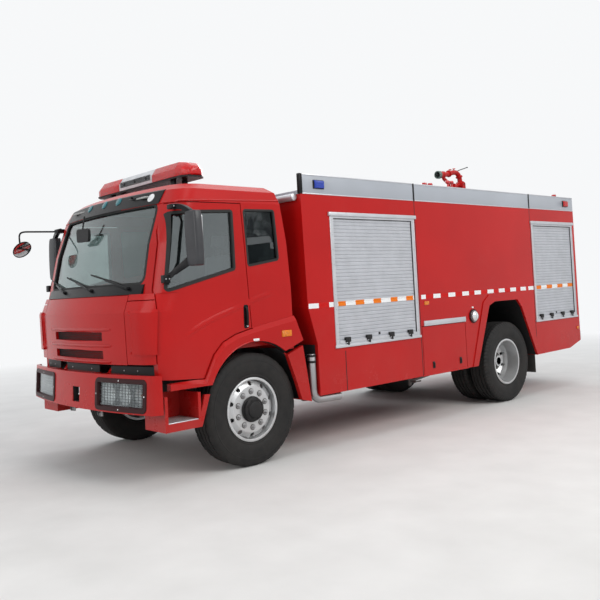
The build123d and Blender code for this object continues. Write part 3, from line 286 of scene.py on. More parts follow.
def window_glass(name, tint, gloss_low, mirror=(0.5, 0.53, 0.54, 1.0)):
    """Thin glass: what is behind shows through it, and its gloss rises towards grazing."""
    s = Shader(name)
    clear = s.add("ShaderNodeBsdfTransparent")
    wiped = s.span(s.noise(2.4, 5.0, 0.6), 0.3, 0.75)
    s.put(clear.inputs[0], s.mix(wiped, tint, shade(tint, 0.9)))
    shine = s.add("ShaderNodeBsdfPrincipled")
    s.put(shine.inputs["Base Color"], mirror)
    s.put(shine.inputs["Metallic"], 1.0)
    s.put(shine.inputs["Roughness"], s.span(s.noise(5.0, 5.0, 0.6), 0.3, 0.8, 0.02, 0.09))
    rim = s.add("ShaderNodeLayerWeight")
    rim.inputs["Blend"].default_value = 0.5
    film = s.span(s.noise(1.7, 6.0, 0.6), 0.35, 0.8, 0.0, 0.04)
    grazing = s.math("POWER", rim.outputs["Facing"], 3.5)
    share = s.math("ADD", s.span(grazing, 0.0, 1.0, gloss_low, 1.0), film, True)
    blend = s.add("ShaderNodeMixShader")
    s.put(blend.inputs[0], share)
    s.put(blend.inputs[1], clear.outputs[0])
    s.put(blend.inputs[2], shine.outputs[0])
    s.put(s.out.inputs["Surface"], blend.outputs[0])
    return s.mat


def tape(name, colour):
    """Reflective tape: a pale sheet over small cells."""
    s = Shader(name)
    cell = s.cells(330.0, feature="DISTANCE_TO_EDGE")
    base = s.mix(s.span(cell, 0.0, 0.12), shade(colour, 0.72), colour)
    base = s.mix(s.span(s.noise(30.0, 4.0), 0.5, 0.85, 0.0, 0.07), base, DUST)
    return s.surface(Base_Color=base, Roughness=0.45, Normal=s.bump(cell, 0.0003, 0.3),
                     Specular_IOR_Level=0.15)


def cloth(name, colour, thread=520.0):
    s = Shader(name)
    warp = s.bands(thread, "X")
    weft = s.bands(thread, "Z")
    fleck = s.span(s.noise(95.0, 3.0, 0.7), 0.3, 0.7)
    base = s.mix(fleck, shade(colour, 0.7), shade(colour, 1.2))
    base = s.mix(s.span(s.noise(4.0, 3.0), 0.3, 0.8, 0.0, 0.3), base, shade(colour, 0.6))
    normal = s.bump(s.math("ADD", warp, weft), 0.0007, 0.5)
    return s.surface(Base_Color=base, Roughness=0.88, Normal=normal, Sheen_Weight=0.35, Sheen_Roughness=0.5)


def perforated(name):
    """Punched step metal."""
    s = Shader(name)
    hole = s.span(s.cells(62.0, (1.0, 1.0, 0.02)), 0.16, 0.24)
    base = s.mix(hole, (0.02, 0.02, 0.02), (0.55, 0.55, 0.56))
    base = s.mix(s.span(s.noise(14.0, 4.0), 0.35, 0.75, 0.0, 0.4), base, DUST)
    return s.surface(Base_Color=base, Metallic=0.5, Roughness=0.42, Normal=s.bump(hole, 0.002, 0.6))


def chequer(name):
    """Aluminium tread sheet with raised bars laid crosswise."""
    s = Shader(name)
    turned = []
    for turn in (0.785, -0.785):
        place = s.add("ShaderNodeMapping")
        s.put(place.inputs["Vector"], s.coord)
        place.inputs["Rotation"].default_value = (0.0, 0.0, turn)
        cells = s.add("ShaderNodeTexVoronoi", feature="F1", distance="CHEBYCHEV")
        s.put(cells.inputs["Vector"], place.outputs[0])
        cells.inputs["Scale"].default_value = 26.0
        cells.inputs["Randomness"].default_value = 0.0
        turned.append(s.span(cells.outputs[0], 0.12, 0.2, 1.0, 0.0))
    bars = s.math("MAXIMUM", turned[0], turned[1])
    base = s.mix(bars, (0.34, 0.345, 0.35), (0.6, 0.605, 0.61))
    base = s.mix(s.span(s.noise(6.0, 5.0), 0.4, 0.8, 0.0, 0.4), base, DUST)
    return s.surface(Base_Color=base, Metallic=0.7, Roughness=0.4, Normal=s.bump(bars, 0.0015, 0.6))


RED = (0.43, 0.0065, 0.006)
M = {
    "red": paint("red_enamel", RED),
    "red_flare": paint("red_flare", (0.41, 0.006, 0.0055), dust=0.14),
    "grey": paint("grey_enamel", (0.37, 0.395, 0.435), rough=0.3, dust=0.0),
    "curtain": metal("curtain_aluminium", (0.46, 0.475, 0.51), 0.5, 0.12, grain=(4.0, 4.0, 500.0)),
    "alu": metal("aluminium_profile", (0.56, 0.57, 0.6), 0.36, 0.6, grain=(300.0, 3.0, 300.0)),
    "steel": metal("bare_steel", (0.4, 0.4, 0.41), 0.4, dust=0.3),
    "chrome": metal("polished_chrome", (0.78, 0.79, 0.8), 0.1),
    "mirror": metal("mirror_face", (0.86, 0.87, 0.88), 0.03),
    "silver": metal("wheel_silver", (0.6, 0.61, 0.62), 0.36, 0.65, dust=0.45),
    "iron": metal("cast_iron", (0.1, 0.1, 0.1), 0.6, 0.6, dust=0.7),
    "frame": paint("chassis_enamel", (0.022, 0.022, 0.024), rough=0.42, dust=0.5, top=1.3),
    "black": plastic("black_plastic", (0.014, 0.014, 0.015), 0.48, gloss=0.2),
    "gloss_black": plastic("gloss_black", (0.006, 0.006, 0.007), 0.3, 900.0, 0.03, coat=0.03, gloss=0.15),
    "maroon": plastic("lamp_surround", (0.03, 0.006, 0.007), 0.42, dust=0.02, gloss=0.18),
    "rubber": plastic("moulded_rubber", (0.018, 0.018, 0.018), 0.66, 300.0, 0.3),
    # dark trim, also the colour of the sheets that are painted shade behind the grille, under the cab and by
    # the mudguards
    "dark": plastic("dark_trim", (0.008, 0.008, 0.009), 0.7),
    "interior": plastic("interior_grey", (0.16, 0.16, 0.165), 0.62, 500.0, 0.0),
    "tyre": tyre_rubber("tyre_rubber"),
    "glass": window_glass("clear_glass", (0.72, 0.81, 0.79), 0.17),
    "side_glass": window_glass("side_glass", (0.78, 0.83, 0.83), 0.2),
    "quarter_glass": window_glass("dark_glass", (0.16, 0.19, 0.19), 0.07, mirror=(0.13, 0.14, 0.16, 1.0)),
    "lamp_glass": window_glass("lamp_glass", (0.95, 0.97, 0.97), 0.05),
    "red_lens": lens("red_lens", (0.62, 0.012, 0.012), (22.0, "X")),
    "red_cap": plastic("red_cap", (0.5, 0.013, 0.015), 0.2, 800.0, 0.0, coat=0.8),
    "blue_lens": lens("blue_lens", (0.015, 0.06, 0.5), (40.0, "Y")),
    "amber_lens": lens("amber_lens", (0.95, 0.27, 0.008), (60.0, "Z")),
    "white_tape": tape("white_tape", (0.84, 0.85, 0.86)),
    "orange_tape": tape("orange_tape", (0.82, 0.2, 0.014)),
    "red_tape": tape("red_tape", (0.55, 0.006, 0.005)),
    "seat": cloth("seat_cloth", (0.3, 0.3, 0.325)),
    "tread_plate": perforated("step_plate"),
    "rib_glass": plastic("rib_glass", (0.06, 0.062, 0.066), 0.3, 600.0, 0.0),
    "reflector": metal("lamp_reflector", (0.9, 0.905, 0.92), 0.3, 0.12),
    "bulb": lens("bulb_glass", (0.9, 0.9, 0.86), see=0.6),
    "teal_lens": lens("teal_lens", (0.02, 0.2, 0.24)),
    "mirror_shell": plastic("mirror_shell", (0.035, 0.036, 0.04), 0.42, 520.0, 0.05, coat=0.15),
    "red_dome": lens("red_dome", (0.72, 0.008, 0.01), (30.0, "X"), 0.3),
    "bar_grey": plastic("bar_grey", (0.55, 0.56, 0.58), 0.35, 600.0, 0.0, coat=0.3),
    "pale_trim": plastic("pale_trim", (0.42, 0.42, 0.41), 0.75, 380.0, 0.0),
    "nozzle_green": plastic("nozzle_green", (0.13, 0.17, 0.15), 0.55, 500.0, 0.0),
    "chequer": chequer("chequer_plate"),
}


# mesh helpers

# The shape calls below add to this mesh, and take() turns it into an object.
bm = bmesh.new()


def linked(name, data):
    obj = bpy.data.objects.new(name, data)
    scene.collection.objects.link(obj)
    return obj


def take(name):
    global bm
    mesh = bpy.data.meshes.new(name)
    bm.to_mesh(mesh)
    bm.free()
    bm = bmesh.new()
    return linked(name, mesh)


def piece(name, mat, body="chassis", angle=35.0, stands_for=()):
    bmesh.ops.recalc_face_normals(bm, faces=bm.faces)
    obj = take(name)
    obj.data.materials.append(M[mat])
    obj.data.shade_smooth()
    obj.data.set_sharp_from_angle(angle=radians(angle))
    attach(obj, body)
    if stands_for:
        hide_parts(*stands_for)


def bevelled(edges, offset, seg=2):
    bmesh.ops.bevel(bm, geom=list(edges), offset=offset, segments=seg, profile=0.5, affect="EDGES")


def box(x0, x1, y0, y1, z0, z1, r=0.002, seg=2, turn=None):
    """A bevelled block between two corners, turned about its centre if a matrix is given."""
    centre = at((x0 + x1) / 2, (y0 + y1) / 2, (z0 + z1) / 2)
    size = Matrix.Diagonal((abs(x1 - x0), abs(y1 - y0), abs(z1 - z0), 1.0))
    place = Matrix.Translation(centre) @ (turn.to_4x4() if turn else Matrix.Identity(4)) @ size
    verts = bmesh.ops.create_cube(bm, size=1.0, matrix=place)["verts"]
    limit = 0.45 * min(abs(x1 - x0), abs(y1 - y0), abs(z1 - z0))
    if r > 0:
        bevelled({e for v in verts for e in v.link_edges}, min(r, limit), seg)


def rod(a, b, r, r_end=None, seg=24, bevel=0.0):
    """A round bar between two points."""
    line = b - a
    turn = line.to_track_quat("Z", "Y").to_matrix().to_4x4()
    place = Matrix.Translation((a + b) / 2) @ turn
    made = bmesh.ops.create_cone(bm, cap_ends=True, segments=seg, radius1=r,
                                 radius2=r if r_end is None else r_end, depth=line.length,
                                 matrix=place)["verts"]
    if bevel:
        rims = {e for v in made for e in v.link_edges if len(e.link_faces) == 2
                and any(len(f.verts) > 4 for f in e.link_faces)}
        bevelled(rims, bevel)


def stub(foot, axis, reach, r, seg=24, bevel=0.0):
    rod(foot, foot + axis * reach, r, seg=seg, bevel=bevel)


def post(x, y, z0, z1, r, seg=24, bevel=0.0):
    rod(at(x, y, z0), at(x, y, z1), r, seg=seg, bevel=bevel)


def plate(low, high, a0, a1, z0, z1, r=0.002, seg=2, rear=False):
    """A block on the body's side or rear; low and high are counted from there outwards."""
    if rear:
        box(a0, a1, REAR + low, REAR + high, z0, z1, r, seg)
    else:
        box(HALF + low, HALF + high, a0, a1, z0, z1, r, seg)


def spread(count, start=0.0):
    """Angles of evenly spaced turns; start is a share of one step."""
    return [2 * pi * (i + start) / count for i in range(count)]


def hoop(centre, u, v, r, count, start=0.0):
    """Evenly spaced points on a circle in the plane of two directions."""
    return [centre + (u * cos(a) + v * sin(a)) * r for a in spread(count, start)]


def lathe(profile, origin, axis, seg=64):
    """Turns (distance along the axis, radius) pairs about the axis from an origin."""
    axis = axis.normalized()
    side = axis.orthogonal().normalized()
    other = axis.cross(side)
    rings = []
    for d, r in profile:
        foot = origin + axis * d
        points = [foot] if r < 1e-6 else hoop(foot, side, other, r, seg)
        rings.append([bm.verts.new(p) for p in points])
    for a, b in zip(rings, rings[1:]):
        for i in range(seg):
            j = (i + 1) % seg
            corners = list(dict.fromkeys((a[i % len(a)], a[j % len(a)], b[j % len(b)], b[i % len(b)])))
            if len(corners) > 2:
                bm.faces.new(corners)


def smooth_line(points, steps):
    """A rounder line through the same points."""
    pts = [Vector(p) for p in points]
    pts = [pts[0] * 2 - pts[1], *pts, pts[-1] * 2 - pts[-2]]
    out = []
    for p0, p1, p2, p3 in zip(pts, pts[1:], pts[2:], pts[3:]):
        for k in range(steps):
            t = k / steps
            out.append(0.5 * ((2 * p1) + (p2 - p0) * t + (2 * p0 - 5 * p1 + 4 * p2 - p3) * t * t
                              + (3 * p1 - p0 - 3 * p2 + p3) * t ** 3))
    return out + [pts[-2]]


def sweep(pts, shape, closed=False, up=Z_AXIS):
    """Carries a closed outline of (sideways, upwards) pairs along points."""
    count = len(pts)
    rings = []
    for i, p in enumerate(pts):
        before = pts[(i - 1) % count] if closed or i else p
        after = pts[(i + 1) % count] if closed or i + 1 < count else p
        along = (after - before).normalized()
        side = along.cross(up)
        if side.length < 1e-4:
            side = along.orthogonal()
        side.normalize()
        rise = side.cross(along).normalized()
        rings.append([p + side * u + rise * v for u, v in shape])
    loft(rings, closed=closed)


def circle(r, seg=14, squash=1.0):
    return [(r * cos(a), r * squash * sin(a)) for a in spread(seg)]


def tube(points, r, seg=14, steps=6):
    """A round bar along a rounded line through the points."""
    sweep(smooth_line(points, steps) if steps else points, circle(r, seg))


def loft(rings, caps=True, closed=False):
    """Joins rings of equally many points."""
    made = [[bm.verts.new(p) for p in ring] for ring in rings]
    m = len(made[0])
    pairs = list(zip(made, made[1:] + made[:1])) if closed else list(zip(made, made[1:]))
    for a, b in pairs:
        for k in range(m):
            bm.faces.new([a[k], a[(k + 1) % m], b[(k + 1) % m], b[k]])
    if caps and not closed:
        bm.faces.new(made[0])
        bm.faces.new(made[-1][::-1])


def rounded(points, r, steps=6):
    """A closed outline with its corners rounded, in two dimensions."""
    out = []
    n = len(points)
    for i in range(n):
        p = Vector(points[i])
        a = (Vector(points[i - 1]) - p)
        b = (Vector(points[(i + 1) % n]) - p)
        half = a.angle(b) / 2
        cut = min(r / tan(half), 0.45 * a.length, 0.45 * b.length)
        real = cut * tan(half)
        centre = p + (a.normalized() + b.normalized()).normalized() * (real / sin(half))
        start = p + a.normalized() * cut - centre
        turn = (p + b.normalized() * cut - centre)
        total = atan2(start.x * turn.y - start.y * turn.x, start.dot(turn))
        for k in range(steps + 1):
            t = total * k / steps
            out.append(Vector((centre.x + start.x * cos(t) - start.y * sin(t),
                               centre.y + start.x * sin(t) + start.y * cos(t))))
    return out


def dense(points, gap=0.04):
    """The same closed outline with no step longer than the gap."""
    out = []
    for i, p in enumerate(points):
        q = points[(i + 1) % len(points)]
        parts = max(1, ceil((q - p).length / gap))
        out += [p.lerp(q, k / parts) for k in range(parts)]
    return out


def moved_in(points, step):
    """A closed outline moved inwards by a step (outwards if it is negative)."""
    n = len(points)
    area = sum(points[i - 1].x * points[i].y - points[i].x * points[i - 1].y for i in range(n))
    sign = 1.0 if area > 0 else -1.0
    out = []
    for i in range(n):
        a = (points[i] - points[i - 1]).normalized()
        b = (points[(i + 1) % n] - points[i]).normalized()
        normal = Vector((-(a.y + b.y), a.x + b.x)) * sign
        if normal.length < 1e-6:
            normal = Vector((-a.y, a.x)) * sign
        out.append(points[i] + normal.normalized() * step)
    return out


def prism(outline, place, t0, t1):
    """Outline (u, v) pushed from t0 to t1; place turns (u, v, t) into a point."""
    loft([[place(u, v, t) for u, v in outline] for t in (t0, t1)])


def frame_strip(outline, surface, inner, outer, low, high, gap=0.04):
    """A closed strip that follows an outline on a surface; low and high are depths along its normal."""
    base = dense(outline, gap)
    shoulder = high * 0.6 + low * 0.4
    slope = (inner - outer) * 0.15
    loops = ((outer, low), (outer, shoulder), (outer + slope, high), (inner - slope, high),
             (inner, shoulder), (inner, low))
    loft([[surface(p.x, p.y, depth) for p in moved_in(base, step)] for step, depth in loops], closed=True)


# cab hull, as in the solids

LOWER = [(0.86, 1.2, -1.175, 4.7, 0.24), (1.5, 1.2, -1.192, 4.7, 0.26), (1.66, 1.2, -1.15, 4.0, 0.29)]
UPPER = [(1.66, 1.2, -1.09, 4.7, 0.175), (2.1, 1.2, -0.996, 4.55, 0.21), (2.47, 1.194, -0.859, 4.75, 0.175),
         (2.59, 1.148, -0.79, 4.7, 0.2), (2.65, 1.05, -0.7, 4.6, 0.24), (2.675, 0.9, -0.54, 4.5, 0.24)]


def hull_section(z, off=0.0):
    table = LOWER if z < 1.66 else UPPER
    z = min(max(z, table[0][0]), table[-1][0])
    for a, b in zip(table, table[1:]):
        if a[0] <= z <= b[0]:
            t = (z - a[0]) / (b[0] - a[0])
            w, nose, bow, r = (p + (q - p) * t for p, q in zip(a[1:], b[1:]))
            return w + off, nose - off, bow + off, r + off
    raise ValueError(z)


def nose_curve(x, w, nose, bow, r):
    """Station of a bowed front with rounded corners at a width."""
    middle = nose + bow
    cx = w - r
    x = min(abs(x), w)
    if x <= cx * bow / (bow - r):
        return middle - sqrt(bow ** 2 - x ** 2)
    cy = middle - sqrt((bow - r) ** 2 - cx ** 2)
    return cy - sqrt(max(r ** 2 - (x - cx) ** 2, 0.0))


def hull_front(x, z, off=0.0):
    """Station of the cab's skin at a width and height."""
    return nose_curve(x, *hull_section(z, off))


def hull_side(y, z, off=0.0):
    """Half width of the cab's skin at a station and height."""
    w, nose, bow, r = hull_section(z, off)
    middle = nose + bow
    cx = w - r
    cy = middle - sqrt((bow - r) ** 2 - cx ** 2)
    if y >= cy:
        return w
    if y >= cy - r:
        x = cx + sqrt(max(r ** 2 - (cy - y) ** 2, 0.0))
        if x > cx * bow / (bow - r):
            return x
    return sqrt(max(bow ** 2 - (middle - y) ** 2, 0.0))


def front_skin(x, z, off):
    return at(x, hull_front(x, z, off), z)


def side_skin(y, z, off):
    return at(hull_side(y, z, off), y, z)


# materials of the carried-over solids

NODE_MATERIALS = {
    "frame": "ladder_frame cross_members tow_jaw",
    "iron": "engine_and_drive front_axle rear_axle knuckle_left knuckle_right",
    "red": "front_bumper front_locker tank_body rear_locker monitor_column cab_shell front_panel "
           "corner_panels cab_fenders door_left door_right flap_left flap_right monitor_swivel "
           "monitor_barrel",
    "maroon": "headlamp_frames",
    "lamp_glass": "headlamp_lenses",
    "red_flare": "entry_steps front_mudguards",
    "chrome": "side_pipe tank_inlets",
    "grey": "roof_band light_bar",
    "alu": "shutter_frames shutter_bars rear_bumper rear_ladder",
    "curtain": "shutter_curtains",
    "blue_lens": "blue_lamps",
    "red_lens": "red_lamps",
    "rubber": "mudflaps",
    "glass": "cab_glass",
    "gloss_black": "windscreen_trim",
    "red_cap": "light_bar_lenses",
    "seat": "seats",
    "interior": "dashboard",
    "black": "steering_wheel mirror_left mirror_right",
    "side_glass": "door_left_glass door_right_glass",
    "steel": "track_rod",
    "tyre": "tyre_front_left tyre_front_right tyres_rear_left tyres_rear_right",
    "silver": "rim_front_left rim_front_right rims_rear_left rims_rear_right",
}
for mat, names in NODE_MATERIALS.items():
    for name in names.split():
        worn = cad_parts[name].data.materials
        for i in range(len(worn)):
            worn[i] = M[mat]
        if not worn:
            worn.append(M[mat])


# wheels

AXLE_Z = 0.527
REAR_AXLE = 4.3
FRONT_X = 1.045
TWIN_X = 0.913
TWIN_GAP = 0.16
BOLT_CIRCLE = 0.1675


def tread_grid(centre, rear):
    """Tyre with sidewall ribs, circumferential grooves and shoulder notches."""
    steps, pitch = 264, 8
    top, depth = 0.527, 0.013
    notch_every, notch_deep = (4, 0.01) if rear else (8, 0.005)
    profile = [(0.1065, 0.2865), (0.1085, 0.301), (0.121, 0.309), (0.1245, 0.318), (0.123, 0.326),
               (0.1285, 0.338), (0.134, 0.356), (0.1375, 0.378), (0.1392, 0.398), (0.1395, 0.415),
               (0.1385, 0.436), (0.1368, 0.451), (0.1378, 0.4535), (0.1378, 0.459), (0.1355, 0.462),
               (0.133, 0.478), (0.130, 0.491), (0.1275, 0.499), (0.122, 0.508), (0.113, 0.5205),
               (0.1075, 0.5255)]
    shoulder = 15
    across = [(x, r, 0.0, i > shoulder) for i, (x, r) in enumerate(profile)]
    for g, worn in ((0.078, 0.001), (0.027, 0.0)):
        across += [(g + 0.007, top - worn, 1.0, False), (g + 0.0045, top - depth, 1.0, False),
                   (g - 0.0045, top - depth, 1.0, False), (g - 0.007, top, 1.0, False)]
    across += [(-x, r, shift, edge) for x, r, shift, edge in reversed(across)]
    rings = []
    for i in range(steps):
        angle = 2 * pi * i / steps
        zig = (abs((i % pitch) / pitch - 0.5) * 4 - 1) * 0.0042
        ring = []
        for x, r, shift, edge in across:
            if edge and i % notch_every == 0:
                r -= notch_deep
            ring.append(centre + Vector(((x + zig * shift) * SIDE, r * sin(angle), r * cos(angle))))
        rings.append(ring)
    loft(rings, closed=True)


for side in both_sides():
    tread_grid(at(FRONT_X, 0, AXLE_Z), False)
    piece(f"tread_front_{side}", "tyre", f"wheel_front_{side}", angle=28, stands_for=[f"tyre_front_{side}"])
    for x in (TWIN_X + TWIN_GAP, TWIN_X - TWIN_GAP):
        tread_grid(at(x, REAR_AXLE, AXLE_Z), True)
    piece(f"treads_rear_{side}", "tyre", f"wheels_rear_{side}", angle=28, stands_for=[f"tyres_rear_{side}"])


def nut(centre, axis, reach, r=0.0175):
    """Flanged hexagon nut with the stud's end."""
    rod(centre, centre + axis * 0.006, r * 1.32, seg=20, bevel=0.0012)
    rod(centre + axis * 0.006, centre + axis * reach, r, r * 0.94, seg=6, bevel=0.0014)
    rod(centre + axis * reach, centre + axis * (reach + 0.008), r * 0.5, seg=12, bevel=0.001)


for side in both_sides():
    out = X_AXIS * SIDE
    front, rear = f"wheel_front_{side}", f"wheels_rear_{side}"

    def bolt_feet(x, y, radius, count, start=0.0):
        """Points about an axle, counted from the top."""
        return hoop(at(x, y, AXLE_Z), Z_AXIS, Y_AXIS, radius, count, start)

    for foot in bolt_feet(FRONT_X + 0.103, 0, BOLT_CIRCLE, 10):
        nut(foot, out, 0.022)
    piece(f"nuts_front_{side}", "steel", front)
    for foot in bolt_feet(FRONT_X + 0.099, 0, BOLT_CIRCLE, 10):
        stub(foot, out, 0.0045, 0.0285, 28, 0.001)
    piece(f"nut_washers_front_{side}", "iron", front)
    lathe([(0.1, 0.121), (0.108, 0.121), (0.112, 0.116), (0.114, 0.11), (0.1425, 0.109), (0.146, 0.104),
           (0.147, 0.084), (0.153, 0.08), (0.162, 0.075), (0.1665, 0.064), (0.167, 0.03), (0.167, 0.0)],
          at(FRONT_X, 0, AXLE_Z), out, 56)
    for foot in bolt_feet(FRONT_X + 0.1455, 0, 0.092, 8, 0.5):
        stub(foot, out, 0.006, 0.0075, 6, 0.001)
    piece(f"hub_cover_front_{side}", "black", front)
    for foot in bolt_feet(TWIN_X + 0.01, REAR_AXLE, BOLT_CIRCLE, 10, 0.5 / pi):
        nut(foot, out, 0.03)
    piece(f"nuts_rear_{side}", "steel", rear)
    lathe([(0.05, 0.128), (0.094, 0.122), (0.098, 0.112), (0.1, 0.09), (0.104, 0.084), (0.138, 0.08),
           (0.147, 0.072), (0.15, 0.05), (0.15, 0.0)], at(TWIN_X, REAR_AXLE, AXLE_Z), out, 56)
    for foot in bolt_feet(TWIN_X + 0.098, REAR_AXLE, 0.1, 10, 0.5):
        stub(foot, out, 0.008, 0.009, 6, 0.001)
    piece(f"hub_cover_rear_{side}", "iron", rear)
    for which, x, y, body in (("front", FRONT_X, 0, front), ("rear", TWIN_X + TWIN_GAP, REAR_AXLE, rear)):
        lathe([(0.109, 0.2755), (0.1175, 0.2765), (0.1195, 0.283), (0.1185, 0.292), (0.115, 0.2975),
               (0.1095, 0.2988), (0.1085, 0.29), (0.1085, 0.28)], at(x, y, AXLE_Z), out, 96)
        (valve,) = bolt_feet(x + 0.075, y, 0.262, 1, 200 / 360)
        stub(valve, out, 0.05, 0.0045, 10)
        rod(valve + out * 0.05, valve + out * 0.062, 0.006, seg=10, bevel=0.001)
        piece(f"rim_edge_{which}_{side}", "silver", body, angle=40)


# windows

SCREEN = [(-0.96, 1.735), (0.96, 1.735), (0.93, 2.478), (-0.93, 2.478)]
DOOR_WINDOW = [(-0.912, 1.655), (-0.15, 1.838), (-0.15, 2.404), (-0.785, 2.378)]
QUARTER = [(-0.035, 2.412), (0.355, 2.42), (0.385, 1.922), (-0.01, 1.862)]
frame_strip(rounded(SCREEN, 0.09), front_skin, 0.03, -0.004, -0.017, 0.002)
piece("windscreen_seal", "rubber", "cab")
for side in both_sides():
    frame_strip(rounded(DOOR_WINDOW, 0.035), side_skin, 0.03, -0.003, -0.017, 0.0025)
    piece(f"door_window_seal_{side}", "rubber", f"door_{side}")
    frame_strip(rounded(QUARTER, 0.035), side_skin, 0.024, -0.003, -0.017, 0.0025)
    piece(f"quarter_window_seal_{side}", "rubber", "cab")


# body sides

STRIPE_LOW = 1.428
STRIPE_TALL = 0.05
SLAT_LOW = 1.043
SLAT_HIGH = 2.35
SLAT_COUNT = 34
SLAT_PITCH = (SLAT_HIGH - SLAT_LOW) / SLAT_COUNT
SLAT_EDGE = 0.2  # share of a slat that slopes at either end
CURTAIN_X = 1.24
SLAT_DEPTH = 0.006
FRONT_SHUTTER = (1.055, 2.43)
REAR_SHUTTER = (5.0, 6.16)
SHUTTERS = (FRONT_SHUTTER, REAR_SHUTTER)
LATCH_SHARES = (0.127, 0.365, 0.635, 0.873)
FILLER = (3.5, 1.18)
MODULE_SEAMS = (2.45, 4.98)
BAND_LOW, BAND_HIGH = 2.585, 2.79


def shutter_profiles(a0, a1, rear=False):
    """Head rail and sill lip of a shutter between two jambs."""
    plate(-0.01, 0.021, a0 - 0.022, a1 + 0.022, 2.372, 2.412, 0.005, 3, rear)
    plate(-0.01, 0.016, a0 - 0.012, a1 + 0.012, 1.001, 1.03, 0.004, 3, rear)


def shutter_seals(a0, a1, rear=False):
    for a in (a0 + 0.0535, a1 - 0.0535):
        plate(-0.011, -0.001, a - 0.004, a + 0.004, 1.044, 2.349, 0.0025, 2, rear)


def latches(a0, a1, rear=False):
    """Latches along the foot of a shutter; gives back where they are."""
    places = [a0 + (a1 - a0) * share for share in LATCH_SHARES]
    for a in places:
        plate(0.002, 0.0195, a - 0.014, a + 0.014, 1.022, 1.09, 0.005, 3, rear)
        plate(-0.012, 0.0185, a - 0.038, a + 0.038, 1.052, 1.104, 0.005, 3, rear)
    return places


def stripe_z(y):
    return STRIPE_LOW + 0.006 * (y - 0.7)


def slat_face(z):
    """Depth of the curtain's face at a height."""
    share = ((z - SLAT_LOW) / SLAT_PITCH) % 1.0
    if share < SLAT_EDGE:
        return CURTAIN_X - SLAT_DEPTH * (1 - share / SLAT_EDGE)
    if share > 1 - SLAT_EDGE:
        return CURTAIN_X - SLAT_DEPTH * (share - 1 + SLAT_EDGE) / SLAT_EDGE
    return CURTAIN_X


def stripe_block(y0, y1, on_curtain=False):
    """One length of tape, which follows the slats where it lies on a curtain."""
    gauge = 0.0006
    low = stripe_z((y0 + y1) / 2)
    heights = [low, low + STRIPE_TALL]
    if on_curtain:
        marks = [SLAT_LOW + SLAT_PITCH * (i + share) for i in range(SLAT_COUNT)
                 for share in (0.0, SLAT_EDGE, 1 - SLAT_EDGE)]
        heights = [low] + [z for z in marks if low < z < low + STRIPE_TALL] + [low + STRIPE_TALL]
    rings = []
    for z in heights:
        face = slat_face(z) if on_curtain else HALF
        rings.append(line_of((face + 0.0002, y0, z), (face + gauge, y0 + 0.0005, z),
                             (face + gauge, y1 - 0.0005, z), (face + 0.0002, y1, z)))
    loft(rings)


